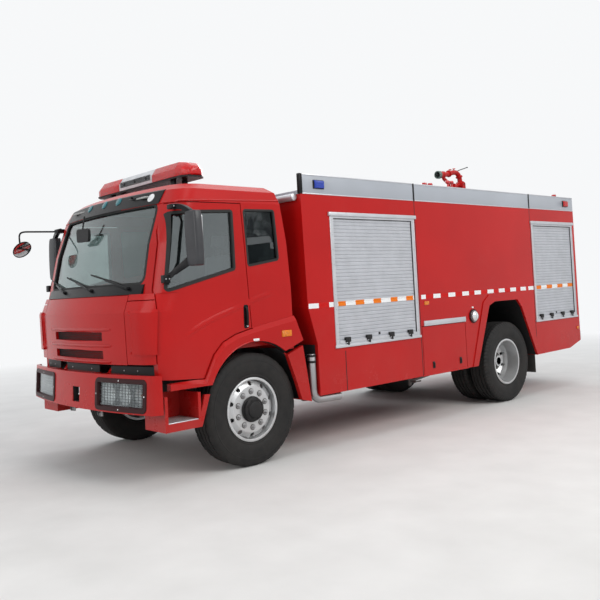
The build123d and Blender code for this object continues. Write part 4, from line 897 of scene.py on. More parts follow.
FRONT_ORANGE = (1.107, 1.13, 1.243, 1.392, 1.527, 1.675, 1.8, 1.96, 2.078, 2.23, 2.353, 2.378)
MIDDLE_WHITE = (2.489, 2.718, 3.013, 3.298, 3.56, 3.849, 4.11, 4.385, 4.639, 4.84)
for side in both_sides():
    out = X_AXIS * SIDE
    tapes = {"white": [(0.7, 0.84), (0.987, 1.053)], "orange": [], "red": [(0.842, 0.985)]}
    for i, ends in enumerate(zip(FRONT_ORANGE, FRONT_ORANGE[1:])):
        tapes["orange" if i % 2 else "white"].append((*ends, True))
    for i, a in enumerate(MIDDLE_WHITE):
        length = 0.14 if i else 0.085
        tapes["white"].append((a, a + length))
        if i + 1 < len(MIDDLE_WHITE):
            tapes["red"].append((a + length + 0.002, MIDDLE_WHITE[i + 1] - 0.002))
    start, end = REAR_SHUTTER[0] + 0.052, REAR_SHUTTER[1] - 0.052
    step = (end - start) / 7
    for i in range(7):
        tapes["white" if i % 2 else "orange"].append((start + i * step, start + (i + 1) * step, True))
    for colour, blocks in tapes.items():
        for block in blocks:
            stripe_block(*block)
        piece(f"stripe_{colour}_{side}", f"{colour}_tape")

    # seams between the three modules and down the skirt
    for y, z0, z1 in (*((y, 0.551, 2.584) for y in MODULE_SEAMS), (1.19, 0.552, 0.965)):
        plate(-0.001, 0.0006, y - 0.005, y + 0.005, z0, z1, 0)
    for y in MODULE_SEAMS:
        plate(-0.001, 0.0045, y - 0.0125, y + 0.0125, BAND_LOW + 0.001, BAND_HIGH - 0.001, 0.001)
    piece(f"module_seams_{side}", "dark")

    # extruded profiles along the roof band and over the skirt
    for low, high in ((2.777, BAND_HIGH - 0.0005), (BAND_LOW, 2.5965)):
        for y0, y1 in ((0.69, 2.437), (2.463, 4.967), (4.993, 6.226)):
            plate(-0.002, 0.004, y0, y1, low, high, 0.0025)
    piece(f"band_trims_{side}", "alu")
    plate(-0.002, 0.012, 2.51, 3.33, 1.123, 1.184, 0.005, 3)
    plate(0.01, 0.0145, 2.514, 3.326, 1.146, 1.161)
    piece(f"skirt_rail_{side}", "alu")
    plate(-0.038, 0.0045, 0.655, 0.699, 2.583, 2.793, 0.008, 3)
    piece(f"band_corner_cap_{side}", "gloss_black")

    # profiles, seals, latches and rivets of the shutters
    for ends in SHUTTERS:
        shutter_profiles(*ends)
        for y in (ends[0] + 0.006, ends[1] - 0.006):
            plate(0.001, 0.0065, y - 0.005, y + 0.005, 1.03, 2.372)
    piece(f"shutter_profiles_{side}", "alu")
    for ends in SHUTTERS:
        shutter_seals(*ends)
        plate(-0.0105, 0.002, ends[0] + 0.056, ends[1] - 0.056, 2.343, 2.35)
    piece(f"shutter_seals_{side}", "rubber")
    for ends in SHUTTERS:
        for y in latches(*ends):
            stub(at(HALF + 0.0135, y, 1.078), out, 0.007, 0.009, 20, 0.0015)
        middle = sum(ends) / 2
        box(CURTAIN_X - 0.004, CURTAIN_X + 0.004, middle - 0.014, middle + 0.014, 1.092, 1.118)
    piece(f"shutter_latches_{side}", "black")
    for y0, y1 in SHUTTERS:
        for y in (y0 + 0.03, y1 - 0.03):
            for i in range(9):
                stub(at(HALF + 0.0028, y, 1.09 + i * 0.155), out, 0.0022, 0.0045, 12, 0.0008)
    piece(f"shutter_rivets_{side}", "steel")

    # filler cap, its ring and its blank label
    lathe([(0.031, 0.0), (0.031, 0.058), (0.036, 0.061), (0.041, 0.058), (0.046, 0.052), (0.054, 0.04),
           (0.06, 0.022), (0.062, 0.0)], at(HALF, *FILLER), out, 48)
    plate(0.057, 0.067, 3.487, 3.513, 1.15, 1.21, 0.004, 3)
    piece(f"filler_cap_{side}", "chrome")
    lathe([(0.0, 0.086), (0.012, 0.086), (0.019, 0.081), (0.02, 0.071), (0.0185, 0.066), (0.0, 0.066)],
          at(HALF, *FILLER), out, 56)
    piece(f"filler_ring_{side}", "maroon")
    plate(0.0002, 0.0012, 3.482, 3.518, 1.281, 1.298, 0)
    piece(f"filler_label_{side}", "white_tape")

    # side marker lamps
    for y, z, wide, tall in ((2.58, 1.39, 0.08, 0.042), (4.27, 1.4, 0.08, 0.042), (6.16, 0.84, 0.05, 0.042)):
        plate(-0.002, 0.011, y - wide / 2, y + wide / 2, z - tall / 2, z + tall / 2, 0.005, 3)
    piece(f"marker_lamps_{side}", "amber_lens")

    # undercoat inside the rear arch
    arch = [Vector(p) for p in ((3.544, 0.556), (3.858, 1.291), (3.991, 1.338), (4.529, 1.338),
                                (4.628, 1.233), (4.962, 0.556))]
    for a, b in zip(arch, arch[1:]):
        n = Vector((b.y - a.y, a.x - b.x)).normalized() * 0.004
        loft([[at(x, p.x, p.y) for p in (a + n * 0.2, b + n * 0.2, b + n, a + n)] for x in (0.594, 1.234)])
    back_wall = [(3.71, 0.92), (3.862, 1.288), (3.992, 1.334), (4.527, 1.334), (4.622, 1.232), (4.776, 0.92)]
    prism(back_wall, lambda u, v, t: at(t, u, v), 0.592, 0.596)
    piece(f"arch_undercoat_{side}", "dark")

    # flap latches
    for y in (2.655, 3.185):
        plate(-0.002, 0.006, y - 0.02, y + 0.02, 0.62, 0.7, 0.004, 3)
        stub(at(HALF + 0.004, y, 0.672), out, 0.014, 0.012, 20, 0.002)
        plate(0.012, 0.019, y - 0.008, y + 0.008, 0.628, 0.684, 0.003, 3)
    piece(f"flap_latches_{side}", "black", f"flap_{side}")


def oblong(wide, tall):
    """Corners of a rectangle about its middle."""
    return [(-wide / 2, -tall / 2), (wide / 2, -tall / 2), (wide / 2, tall / 2), (-wide / 2, tall / 2)]


def quad(x0, x1, z0, z1):
    return [Vector(p) for p in ((x0, z0), (x1, z0), (x1, z1), (x0, z1))]


def lamp_dome(centre, across, up, out, wide, tall, deep):
    """Rounded lamp cover: shrinking rounded outlines up to a shallow crown."""
    rings = []
    for share, level in ((1.0, 0.0), (1.0, 0.35), (0.97, 0.66), (0.9, 0.86), (0.76, 0.97), (0.45, 1.0)):
        outline = rounded(oblong(wide * share, tall * share), 0.014 * share, 4)
        rings.append([centre + across * p.x + up * p.y + out * deep * level for p in outline])
    loft(rings)


BEACON_Z = 2.689
REAR_LAMP_X = (0.86, -1.19)
REAR_LAMP_WIDE = 0.33


def rear_lamp(x0, share_a, share_b, deep):
    """One chamber of a tail lamp, between two shares of its width."""
    a, b = x0 + REAR_LAMP_WIDE * share_a + 0.004, x0 + REAR_LAMP_WIDE * share_b - 0.004
    lamp_dome(at((a + b) / 2, REAR + 0.008, 0.8575), X_AXIS, Z_AXIS, Y_AXIS, b - a, 0.092, deep)


for name, y in (("blue", 0.919), ("red", 5.995)):
    for side in both_sides():
        lamp_dome(at(HALF + 0.006, y, BEACON_Z), Y_AXIS, Z_AXIS, X_AXIS * SIDE, 0.142, 0.08, 0.0195)
    if name == "red":
        for x0 in REAR_LAMP_X:
            rear_lamp(x0, 0.0, 0.36, 0.0135)
            rear_lamp(x0, 0.66, 1.0, 0.0135)
    piece(f"{name}_lamp_lenses", f"{name}_lens", stands_for=[f"{name}_lamps"])
    for side in both_sides():
        plate(-0.001, 0.009, y - 0.077, y + 0.077, BEACON_Z - 0.046, BEACON_Z + 0.046, 0.006, 3)
        plate(0.006, 0.022, y - 0.0765, y - 0.0715, BEACON_Z - 0.03, BEACON_Z + 0.03)
    if name == "red":
        for x0 in REAR_LAMP_X:
            plate(0.0, 0.009, x0 - 0.004, x0 + 0.334, 0.801, 0.914, 0.004, 3, rear=True)
    piece(f"{name}_lamp_bases", "black")
for x0 in REAR_LAMP_X:
    rear_lamp(x0, 0.36, 0.66, 0.0125)
piece("rear_indicators", "amber_lens")


# bumper

def bumper_front(x, z, off=0.0):
    nose = -1.245 + 0.023 * (z - 0.634) / 0.33 - off
    return nose_curve(x, HALF + off, nose, 5.2 + off, 0.11 + off)


def bumper_skin(x, z, off):
    return at(x, bumper_front(x, z, off), z)


def skin_normal(skin, u, v):
    here = skin(u, v, 0.0)
    a = skin(u + 0.004, v, 0.0) - here
    b = skin(u, v + 0.004, 0.0) - here
    n = a.cross(b).normalized()
    return n if (skin(u, v, 0.01) - here).dot(n) > 0 else -n


def skin_patch(outline, skin, off_out, off_in, columns=24, rows=8):
    """A plate that follows a skin inside a closed convex outline."""
    lo, hi = min(p.x for p in outline) + 1e-4, max(p.x for p in outline) - 1e-4

    def span(u):
        cuts = []
        for a, b in zip(outline, outline[1:] + outline[:1]):
            if (a.x - u) * (b.x - u) < 0:
                cuts.append(a.y + (b.y - a.y) * (u - a.x) / (b.x - a.x))
        return min(cuts), max(cuts)

    fronts, backs = [], []
    for i in range(columns + 1):
        u = (lo + hi) / 2 - (hi - lo) / 2 * cos(pi * i / columns)
        v0, v1 = span(u)
        for grid, off in ((fronts, off_out), (backs, off_in)):
            grid.append([bm.verts.new(skin(u, v0 + (v1 - v0) * j / rows, off)) for j in range(rows + 1)])
    for grid in (fronts, backs):
        for a, b in zip(grid, grid[1:]):
            for j in range(rows):
                bm.faces.new([a[j], a[j + 1], b[j + 1], b[j]])
    for j in (0, rows):
        for i in range(columns):
            bm.faces.new([fronts[i][j], fronts[i + 1][j], backs[i + 1][j], backs[i][j]])
    for i in (0, columns):
        for j in range(rows):
            bm.faces.new([fronts[i][j], fronts[i][j + 1], backs[i][j + 1], backs[i][j]])


def dome_screw(foot, normal, r=0.006, tall=0.003):
    lathe([(0.0, r), (tall * 0.5, r * 0.97), (tall * 0.85, r * 0.7), (tall, 0.0)], foot, normal, 14)


LAMP_Z = 0.79
LAMPS = ((0.6, 0.094), (0.82, 0.094), (1.0, 0.062))
for side in both_sides():
    glass_line = rounded(quad(0.479, 1.091, 0.687, 0.893), 0.036)
    skin_patch(glass_line, bumper_skin, -0.012, -0.017, 28, 8)
    piece(f"headlamp_glass_{side}", "lamp_glass", stands_for=["headlamp_lenses"])
    wire = oblong(0.004, 0.004)
    for i in range(14):
        x = 0.504 + i * 0.0425
        sweep([bumper_skin(x, z, -0.019) for z in (0.697, 0.75, 0.82, 0.883)], wire, up=Y_AXIS)
    for j in range(8):
        z = 0.7045 + j * 0.0245
        sweep([bumper_skin(0.484 + 0.602 * k / 12, z, -0.0205) for k in range(13)], wire)
    piece(f"headlamp_ribs_{side}", "rib_glass")
    frame_strip(rounded(quad(0.427, 1.143, 0.642, 0.938), 0.052, 8), bumper_skin, 0.05, 0.0, -0.035, 0.0095)
    piece(f"headlamp_bezel_{side}", "maroon", stands_for=["headlamp_frames"])
    for x, z in ((0.785, 0.666), (0.785, 0.914), (0.452, 0.79), (1.118, 0.79)):
        dome_screw(bumper_skin(x, z, 0.009), skin_normal(bumper_skin, x, z), 0.0065)
    piece(f"headlamp_screws_{side}", "chrome")

    # lamp housing with two reflectors, bulbs and an indicator
    outer = rounded(quad(0.472, 1.098, 0.681, 0.899), 0.03, 5)
    rings = [[bumper_skin(p.x, p.y, -deep) for p in dense(moved_in(outer, step) if step else outer, 0.03)]
             for step, deep in ((0.0, 0.022), (0.006, 0.07), (0.02, 0.135))]
    count = min(len(r) for r in rings)
    rings = [[r[int(i * len(r) / count)] for i in range(count)] for r in rings]
    loft(rings, caps=False)
    bm.faces.new([bm.verts.new(p) for p in rings[-1]])
    piece(f"headlamp_housing_{side}", "reflector")
    for x, r in LAMPS:
        outline = [(0.0, r + 0.004), (0.004, r), (0.02, r * 0.93), (0.045, r * 0.74), (0.065, r * 0.5),
                   (0.078, 0.024), (0.08, 0.0)]
        lathe(outline, at(x, bumper_front(x, LAMP_Z, -0.034), LAMP_Z), Y_AXIS, 36)
    piece(f"headlamp_bowls_{side}", "reflector")
    for name, mat, lamps in (("headlamp_bulbs", "bulb", LAMPS[:2]),
                             ("indicator_bulb", "amber_lens", LAMPS[2:])):
        for x, r in lamps:
            lathe([(0.02, 0.0), (0.022, 0.007), (0.028, 0.0105), (0.04, 0.0115), (0.06, 0.011),
                   (0.078, 0.013)], at(x, bumper_front(x, LAMP_Z, -0.034), LAMP_Z), Y_AXIS, 20)
        piece(f"{name}_{side}", mat)

nose = bumper_front(0.07, 0.76)
box(-0.002, 0.142, nose + 0.1, nose + 0.12, 0.686, 0.834, 0.004)
for x0, x1, z0, z1 in ((0.002, 0.005, 0.69, 0.83), (0.135, 0.138, 0.69, 0.83), (0.002, 0.138, 0.69, 0.693),
                       (0.002, 0.138, 0.827, 0.83)):
    box(x0, x1, nose + 0.006, nose + 0.11, z0, z1, 0.0008)
piece("tow_recess", "dark")
post(0.1, nose + 0.03, 0.688, 0.832, 0.011, bevel=0.002)
post(0.1, nose + 0.03, 0.755, 0.768, 0.019, bevel=0.002)
piece("tow_pin", "chrome")
for x in (-0.16, 0.40):
    box(x - 0.032, x + 0.032, -1.17, -1.15, 0.572, 0.65, 0.004)
    box(x - 0.032, x + 0.032, -1.17, -1.10, 0.63, 0.65, 0.004)
    lathe([(0.0, 0.024), (0.006, 0.026), (0.022, 0.026), (0.028, 0.024), (0.028, 0.012), (0.0, 0.012)],
          at(x, -1.184, 0.6), Y_AXIS, 28)
piece("lashing_brackets", "steel")

# black valance in the gap over the bumper, open where the cab's tilt lugs pass
for a, b in ((-1.13, -0.53), (-0.34, 0.34), (0.53, 1.13)):
    skin_patch(quad(a, b, 0.955, 1.03), lambda x, z, off: at(x, hull_front(x, 1.0, off), z), -0.045,
               -0.06, 14, 3)
piece("front_valance", "black")
for x in (-0.9, -0.72, -0.2, 0.2, 0.72, 0.9):
    dome_screw(at(x, hull_front(x, 1.0, -0.045), 0.99), -Y_AXIS, 0.008, 0.004)
piece("valance_screws", "steel")
# dark plate across the front behind the valance: painted shade for the space under the cab
box(-1.08, 1.08, -0.862, -0.852, 0.86, 1.125, 0.003)
piece("under_cab_painted_shade", "dark")


# cab front

# dark sheet behind the grille slots: painted shade for the hollow behind them
for low, high in ((1.25, 1.338), (1.085, 1.171)):
    skin_patch(quad(-0.5, 0.5, low, high), front_skin, -0.034, -0.04, 24, 2)
piece("grille_painted_shade", "dark", "cab")
bar = oblong(0.0044, 0.0044)
for low, high in ((1.255, 1.333), (1.09, 1.166)):
    for j in range(5):
        z = low + 0.008 + (high - low - 0.016) * j / 4
        sweep([front_skin(-0.489 + 0.978 * k / 16, z, -0.03) for k in range(17)], bar)
    for i in range(50):
        x = -0.48 + i * 0.0196
        sweep([front_skin(x, z, -0.0275) for z in (low + 0.001, high - 0.001)], bar, up=Y_AXIS)
piece("grille_mesh", "black", "cab")

lip = [(-0.004, -0.017), (0.006, -0.011), (0.0125, 0.0), (0.006, 0.011), (-0.004, 0.017)]
for z, reach in ((1.357, 0.62), (1.211, 0.62), (1.066, 0.6)):
    line = []
    for k in range(25):
        x = reach * (k / 12 - 1)
        end = min(1.0, (reach - abs(x)) / 0.07)
        line.append(front_skin(x, z, 0.009 * end - 0.006))
    sweep(line, [(v, u) for u, v in lip], up=-Y_AXIS)
piece("louvre_lips", "red", "cab")

# flared lip along the inner edge of each corner vane
lip = [(-0.027, -0.004), (-0.014, 0.013), (0.0, 0.023), (0.014, 0.013), (0.027, -0.004)]
for side in both_sides():
    edge = [(0.9, 1.51, 0.0), (0.938, 1.455, -0.002), (0.943, 1.33, -0.002), (0.938, 1.205, -0.002),
            (0.9, 1.15, 0.0)]
    sweep([front_skin(p.x, p.y, p.z) for p in smooth_line(edge, 8)], lip, up=Vector((SIDE * 0.3, -1, 0)))
    piece(f"vane_lip_{side}", "red", "cab")

for x in (-0.33, 0.0, 0.27):
    n = skin_normal(front_skin, x, 2.56)
    foot = front_skin(x, 2.56, 0.0115)
    lathe([(0.0, 0.043), (0.003, 0.043), (0.006, 0.04), (0.0085, 0.03), (0.0095, 0.0)], foot, n, 32)
piece("visor_lamps", "teal_lens", "cab")
n = skin_normal(front_skin, 0.79, 2.535)
lathe([(0.0, 0.043), (0.0015, 0.043), (0.0022, 0.04), (0.0022, 0.0)], front_skin(0.79, 2.535, 0.0115), n, 36)
piece("inspection_disc", "white_tape", "cab")
n = skin_normal(front_skin, 0.51, 2.56)
foot = front_skin(0.51, 2.56, 0.012)
rod(foot - Vector((0.07, 0, 0.008)), foot + Vector((0.07, 0, -0.008)) + n * 0.004, 0.012, seg=20,
    bevel=0.002)
stub(foot, n, 0.03, 0.011, 16, 0.002)
piece("visor_fitting", "gloss_black", "cab")

WIPER_UP = Vector((0, -1, 0.4))
WIPER_ARM = ((0.0, 1.714, 0.036), (0.08, 1.735, 0.038), (0.22, 1.772, 0.026), (0.385, 1.802, 0.008))
for number, pivot in enumerate((-0.4, 0.2, 0.78), 1):
    base = front_skin(pivot, 1.712, 0.008)
    n = skin_normal(front_skin, pivot, 1.8)
    rod(base - n * 0.012, base + n * 0.03, 0.017, seg=24, bevel=0.003)
    rod(base + n * 0.03, base + n * 0.04, 0.011, seg=16, bevel=0.002)
    arm = [front_skin(pivot - reach, z, off) for reach, z, off in WIPER_ARM]
    sweep(smooth_line(arm, 5), [(-0.009, -0.004), (0.009, -0.004), (0.007, 0.005), (-0.007, 0.005)],
          up=WIPER_UP)
    rod(front_skin(pivot - 0.385, 1.802, -0.002), front_skin(pivot - 0.385, 1.802, 0.014), 0.008, seg=14,
        bevel=0.002)
    piece(f"wiper_arm_{number}", "gloss_black", "cab")
    line = [front_skin(pivot - 0.09 - 0.6 * k / 14, 1.746 + 0.122 * k / 14, -0.006) for k in range(15)]
    sweep(line, [(-0.008, 0.003), (-0.003, 0.009), (0.003, 0.009), (0.008, 0.003), (0.003, -0.004),
                 (0.0, -0.0115), (-0.003, -0.004)], up=WIPER_UP)
    for k in (3, 7, 11):
        rod(line[k] - (line[k + 1] - line[k]) * 0.4, line[k] + (line[k + 1] - line[k]) * 0.4, 0.0075, seg=12,
            bevel=0.002)
    piece(f"wiper_blade_{number}", "rubber", "cab")


# door trim

ARCH = (0.02, 0.6)


def arc(y, z, r, start, end, steps):
    """Points (station, height) on an arc between two angles in degrees."""
    turns = [radians(start + (end - start) * k / steps) for k in range(steps + 1)]
    return [(y + r * cos(a), z + r * sin(a)) for a in turns]


def curved_sheet(across, middle, radii, start, end, steps):
    outer, inner = (arc(*middle, r, start, end, steps) for r in radii)
    loft([line_of((across[0], *p), (across[1], *p), (across[1], *q), (across[0], *q))
          for p, q in zip(outer, inner)])


def side_ribbon(line, wide, proud, rows=7):
    """A soft ridge that lies on the cab's side along (station, height) points."""
    pts = smooth_line([(y, z, 0) for y, z in line], 8)
    rings = []
    for i, p in enumerate(pts):
        a = pts[max(i - 1, 0)]
        b = pts[min(i + 1, len(pts) - 1)]
        t = (b - a).normalized()
        n = Vector((-t.y, t.x, 0))
        end = min(1.0, min(i, len(pts) - 1 - i) / 6)
        ring = []
        across = [k / (rows - 1) * 2 - 1 for k in range(rows)]
        for u in across:
            q = p + n * (u * wide / 2)
            ring.append(side_skin(q.x, q.y, 0.0003 + proud * end * (1 - u * u) ** 1.5))
        for u in reversed(across):
            q = p + n * (u * wide / 2)
            ring.append(side_skin(q.x, q.y, -0.0015))
        rings.append(ring)
    loft(rings)


for side in both_sides():
    side_ribbon([(-0.74, 1.255), (-0.6, 1.335), (-0.433, 1.403), (-0.26, 1.456), (-0.075, 1.513)],
                0.06, 0.0055)
    piece(f"door_crease_{side}", "red", f"door_{side}")
    side_ribbon([(-0.018, 1.53), (0.06, 1.554), (0.16, 1.582), (0.3, 1.612)], 0.06, 0.0045)
    piece(f"cab_crease_{side}", "red", "cab")
    recess = rounded([(-0.083, 1.292), (-0.032, 1.3), (-0.03, 1.508), (-0.078, 1.508)], 0.016, 5)
    frame_strip(recess, side_skin, 0.008, -0.003, -0.001, 0.004, 0.03)
    skin_patch(moved_in(recess, 0.003), side_skin, 0.0012, -0.001, 10, 6)
    grip = [side_skin(-0.056, z, off) for z, off in ((1.318, 0.002), (1.335, 0.016), (1.37, 0.022),
                                                     (1.43, 0.022), (1.47, 0.016), (1.488, 0.003))]
    sweep(smooth_line(grip, 5), [(-0.006, -0.011), (0.005, -0.012), (0.007, 0.0), (0.005, 0.012),
                                 (-0.006, 0.011)], up=Y_AXIS)
    piece(f"door_handle_{side}", "gloss_black", f"door_{side}")
    n = skin_normal(side_skin, -0.05, 1.31)
    lathe([(0.0, 0.0085), (0.004, 0.0085), (0.006, 0.007), (0.0062, 0.0)],
          side_skin(-0.047, 1.312, 0.002), n, 20)
    piece(f"door_lock_{side}", "chrome", f"door_{side}")
    # rain gutter over the door and the quarter window
    pts = [side_skin(-0.845 + 1.27 * k / 26, 2.466 + 0.042 * k / 26, 0.0) for k in range(27)]
    sweep(pts, [(u * SIDE, v) for u, v in ((-0.004, -0.006), (0.007, -0.0035), (0.0085, 0.002),
                                           (0.003, 0.006), (-0.004, 0.006))])
    piece(f"rain_gutter_{side}", "red", "cab")
    # fender marker and arch clip
    box(1.232, 1.2495, 0.338, 0.462, 1.178, 1.24, 0.007, 3)
    piece(f"fender_marker_{side}", "amber_lens", "cab")
    box(1.228, 1.2445, -0.015, 0.055, 1.164, 1.19, 0.003, 3)
    piece(f"arch_clip_{side}", "white_tape", "cab")
    # lip round the wheel arch
    tube([at(1.2385, y, z) for y, z in arc(*ARCH, 0.569, 52, 155, 40)], 0.0065, 10, 0)
    piece(f"arch_lip_{side}", "red", "cab")
    # dark liner inside the arch under the fender; inside the mudguard and across the gap before the locker,
    # dark sheets as painted shade
    curved_sheet((1.18, 1.229), ARCH, (0.5642, 0.561), 50, 157, 36)
    piece(f"fender_liner_{side}", "dark", "cab")
    # dark sheet inside the mudguard and dark wall before the locker: painted shade in the gap between fender
    # and locker
    curved_sheet((0.903, 1.193), (0.0, AXLE_Z), (0.6242, 0.621), 1, 61, 24)
    box(0.625, 1.21, 0.788, 0.795, 0.56, 1.06)
    piece(f"mudguard_liner_{side}", "dark")
    # step tread
    box(0.935, 1.2, -0.962, -0.662, 0.5455, 0.551, 0.0015)
    piece(f"step_tread_{side}", "tread_plate")
    box(1.196, 1.2335, -0.964, -0.66, 0.5405, 0.5535, 0.004, 3)
    piece(f"step_nosing_{side}", "alu")


# mirrors

# rounded housing with a mirror face to the rear, two arms and their feet
for side in both_sides():
    cx, cy, cz = 1.4, -0.73, 2.115
    wide, deep, tall = 0.18, 0.088, 0.475
    rings = []
    for k in range(15):
        turn = pi * (k / 14 - 0.5)
        level, share = sin(turn), max(cos(turn) ** 0.13, 0.62)
        half = wide / 2 * share
        outline = rounded([(-half, deep / 2), (-half, -deep / 2 * share), (half, -deep / 2 * share),
                           (half, deep / 2)], 0.028 * share, 5)
        rings.append([at(cx + p.x - 0.008 * level, cy + p.y, cz + level * tall / 2) for p in outline])
    loft(rings)
    piece(f"mirror_housing_{side}", "mirror_shell", f"door_{side}", stands_for=[f"mirror_{side}"])
    face = rounded(oblong(0.138, 0.396), 0.022, 5)
    prism(face, lambda u, v, t: at(cx + u, cy + deep / 2 + t, cz + v), -0.004, 0.0015)
    piece(f"mirror_glass_{side}", "mirror", f"door_{side}")
    flat = [(-0.021, -0.02), (0.021, -0.02), (0.026, 0.0), (0.021, 0.02), (-0.021, 0.02), (-0.026, 0.0)]
    top = line_of((1.135, -0.775, 2.414), (1.21, -0.766, 2.408), (1.29, -0.75, 2.39), (1.36, -0.738, 2.352),
                  (1.385, -0.732, 2.32))
    sweep(smooth_line(top, 6), flat, up=Y_AXIS)
    low = line_of((1.195, -0.885, 1.785), (1.235, -0.86, 1.82), (1.3, -0.8, 1.88), (1.375, -0.745, 1.94))
    pts = smooth_line(low, 6)
    rings = []
    for i, p in enumerate(pts):
        grow = 0.55 + 0.75 * i / (len(pts) - 1)
        rings.append([p + Vector((SIDE * u * 0.7, 0.5 * u, 0)) * grow + Vector((0, 0, v)) * grow
                      for u, v in circle(0.03, 12, 1.1)])
    loft(rings)
    box(1.12, 1.21, -0.815, -0.725, 2.388, 2.432, 0.008, 3)
    box(1.155, 1.222, -0.93, -0.868, 1.742, 1.812, 0.008, 3)
    piece(f"mirror_arms_{side}", "gloss_black", f"door_{side}")
    for x0, x1, y, z in ((1.205, 1.214, -0.795, 2.41), (1.205, 1.214, -0.745, 2.41),
                         (1.218, 1.226, -0.917, 1.777), (1.218, 1.226, -0.883, 1.777)):
        rod(at(x0, y, z), at(x1, y, z), 0.007, seg=6, bevel=0.001)
    piece(f"mirror_bolts_{side}", "steel", f"door_{side}")

arm = line_of((-1.2, -0.775, 2.41), (-1.25, -0.86, 2.412), (-1.3, -1.0, 2.414), (-1.33, -1.11, 2.412),
              (-1.338, -1.15, 2.385), (-1.338, -1.155, 2.32), (-1.335, -1.145, 2.26),
              (-1.331, -1.133, 2.225))
tube(arm, 0.0095, 12)
normal = Vector((0.757, 0.171, -0.629)).normalized()
centre = at(-1.33, -1.13, 2.215)
lathe([(-0.006, 0.105), (-0.012, 0.105), (-0.022, 0.09), (-0.028, 0.06), (-0.03, 0.0)], centre, normal, 44)
lathe([(-0.006, 0.105), (0.0, 0.104), (0.001, 0.099), (-0.003, 0.098)], centre, normal, 44)
piece("kerb_mirror_back", "gloss_black", "door_right")
lathe([(-0.005, 0.1), (-0.002, 0.08), (0.0, 0.05), (0.0008, 0.0)], centre, normal, 44)
piece("kerb_mirror_face", "mirror", "door_right")


# light bar

BAR_Y = -0.33


def bar_ring(x, half_deep, low, high, cut):
    """Section of the light bar: flat base, leaning sides and chamfered top."""
    return [at(x, BAR_Y - half_deep, low), at(x, BAR_Y - half_deep, low + (high - low) * 0.5),
            at(x, BAR_Y - half_deep + cut, high), at(x, BAR_Y + half_deep - cut, high),
            at(x, BAR_Y + half_deep, low + (high - low) * 0.5), at(x, BAR_Y + half_deep, low)]


for side in both_sides():
    stations = ((0.332, 0.142, 2.759, 2.898, 0.05), (0.58, 0.143, 2.759, 2.9, 0.052),
                (0.75, 0.143, 2.759, 2.9, 0.055), (0.83, 0.12, 2.76, 2.886, 0.06),
                (0.885, 0.07, 2.765, 2.85, 0.035), (0.9, 0.05, 2.772, 2.82, 0.02))
    loft([bar_ring(x, d, lo, hi, c) for x, d, lo, hi, c in stations])
    bevelled(bm.edges, 0.004)
    piece(f"light_bar_dome_{side}", "red_dome", "cab", angle=30, stands_for=["light_bar_lenses"])
    for x in (0.46, 0.64, 0.78):
        lathe([(0.0, 0.035), (0.012, 0.038), (0.03, 0.03), (0.045, 0.012), (0.047, 0.0)],
              at(x, BAR_Y - 0.06, 2.808), Vector((SIDE * 0.3, -1, 0)), 24)
        post(x, BAR_Y, 2.765, 2.83, 0.03, 24, 0.003)
    box(0.36, 0.84, BAR_Y - 0.02, BAR_Y + 0.02, 2.79, 2.872, 0.004)
    piece(f"light_bar_reflectors_{side}", "chrome", "cab")
    for x in (0.53, 0.745):
        post(x, BAR_Y - 0.06, 2.79, 2.85, 0.022, 20, 0.006)
    piece(f"light_bar_amber_{side}", "amber_lens", "cab")
loft([bar_ring(x, 0.141, 2.759, 2.897, 0.048) for x in (-0.33, 0.33)])
bevelled(bm.edges, 0.004)
piece("light_bar_body", "bar_grey", "cab", angle=30, stands_for=["light_bar"])
for sign in (1, -1):
    loft([[at(sign * x, BAR_Y + u, v) for u, v in ((-d, 2.745), (-d, 2.7605), (d, 2.7605), (d, 2.745))]
          for x, d in ((0.0, 0.134), (0.82, 0.134), (0.885, 0.07))])
piece("light_bar_base", "black", "cab")
for j in range(6):
    z = 2.792 + j * 0.0095
    sweep([at(-0.3 + 0.2 * k, BAR_Y - 0.1425, z) for k in range(4)], oblong(0.006, 0.0056))
for x in (-0.22, 0.0, 0.22):
    lathe([(0.0, 0.017), (0.004, 0.017), (0.006, 0.012), (0.006, 0.0)], at(x, BAR_Y - 0.141, 2.815),
          -Y_AXIS, 20)
piece("light_bar_speaker", "black", "cab")
for x in (-0.6, 0.6):
    box(x - 0.035, x + 0.035, BAR_Y - 0.09, BAR_Y + 0.09, 2.676, 2.69, 0.004)
    box(x - 0.03, x + 0.03, BAR_Y - 0.08, BAR_Y - 0.05, 2.685, 2.755, 0.003)
    box(x - 0.03, x + 0.03, BAR_Y + 0.05, BAR_Y + 0.08, 2.685, 2.755, 0.003)
piece("light_bar_feet", "black", "cab")


# cab interior

SEAT_X = 0.62
CLOTH_FRAMES = 20
LEAN = Matrix.Rotation(radians(-6.0), 3, "X")


def swelled(name, cap):
    """A pad: its rough form is remeshed, blown up as cloth and kept near where it began."""
    obj = take(name)
    remesh = obj.modifiers.new("Remesh", "REMESH")
    remesh.mode = "VOXEL"
    remesh.voxel_size = 0.011
    graph = bpy.context.evaluated_depsgraph_get()
    obj.data = bpy.data.meshes.new_from_object(obj.evaluated_get(graph))
    obj.modifiers.clear()
    start = [v.co.copy() for v in obj.data.vertices]
    cover = obj.modifiers.new("Cloth", "CLOTH")
    cover.settings.use_pressure = True
    cover.settings.uniform_pressure_force = 4.0
    cover.settings.effector_weights.gravity = 0.0
    cover.settings.tension_stiffness = cover.settings.compression_stiffness = 25.0
    cover.point_cache.frame_end = CLOTH_FRAMES
    for number in range(1, CLOTH_FRAMES + 1):
        scene.frame_set(number)
    graph = bpy.context.evaluated_depsgraph_get()
    blown = obj.evaluated_get(graph).data
    moved = [v.co.copy() for v in blown.vertices]
    obj.modifiers.clear()
    scene.frame_set(1)
    for v, a, b in zip(obj.data.vertices, start, moved):
        step = b - a
        if step.length > cap:
            step = step.normalized() * cap
        v.co = a + step
    obj.data.shade_smooth()
    return obj


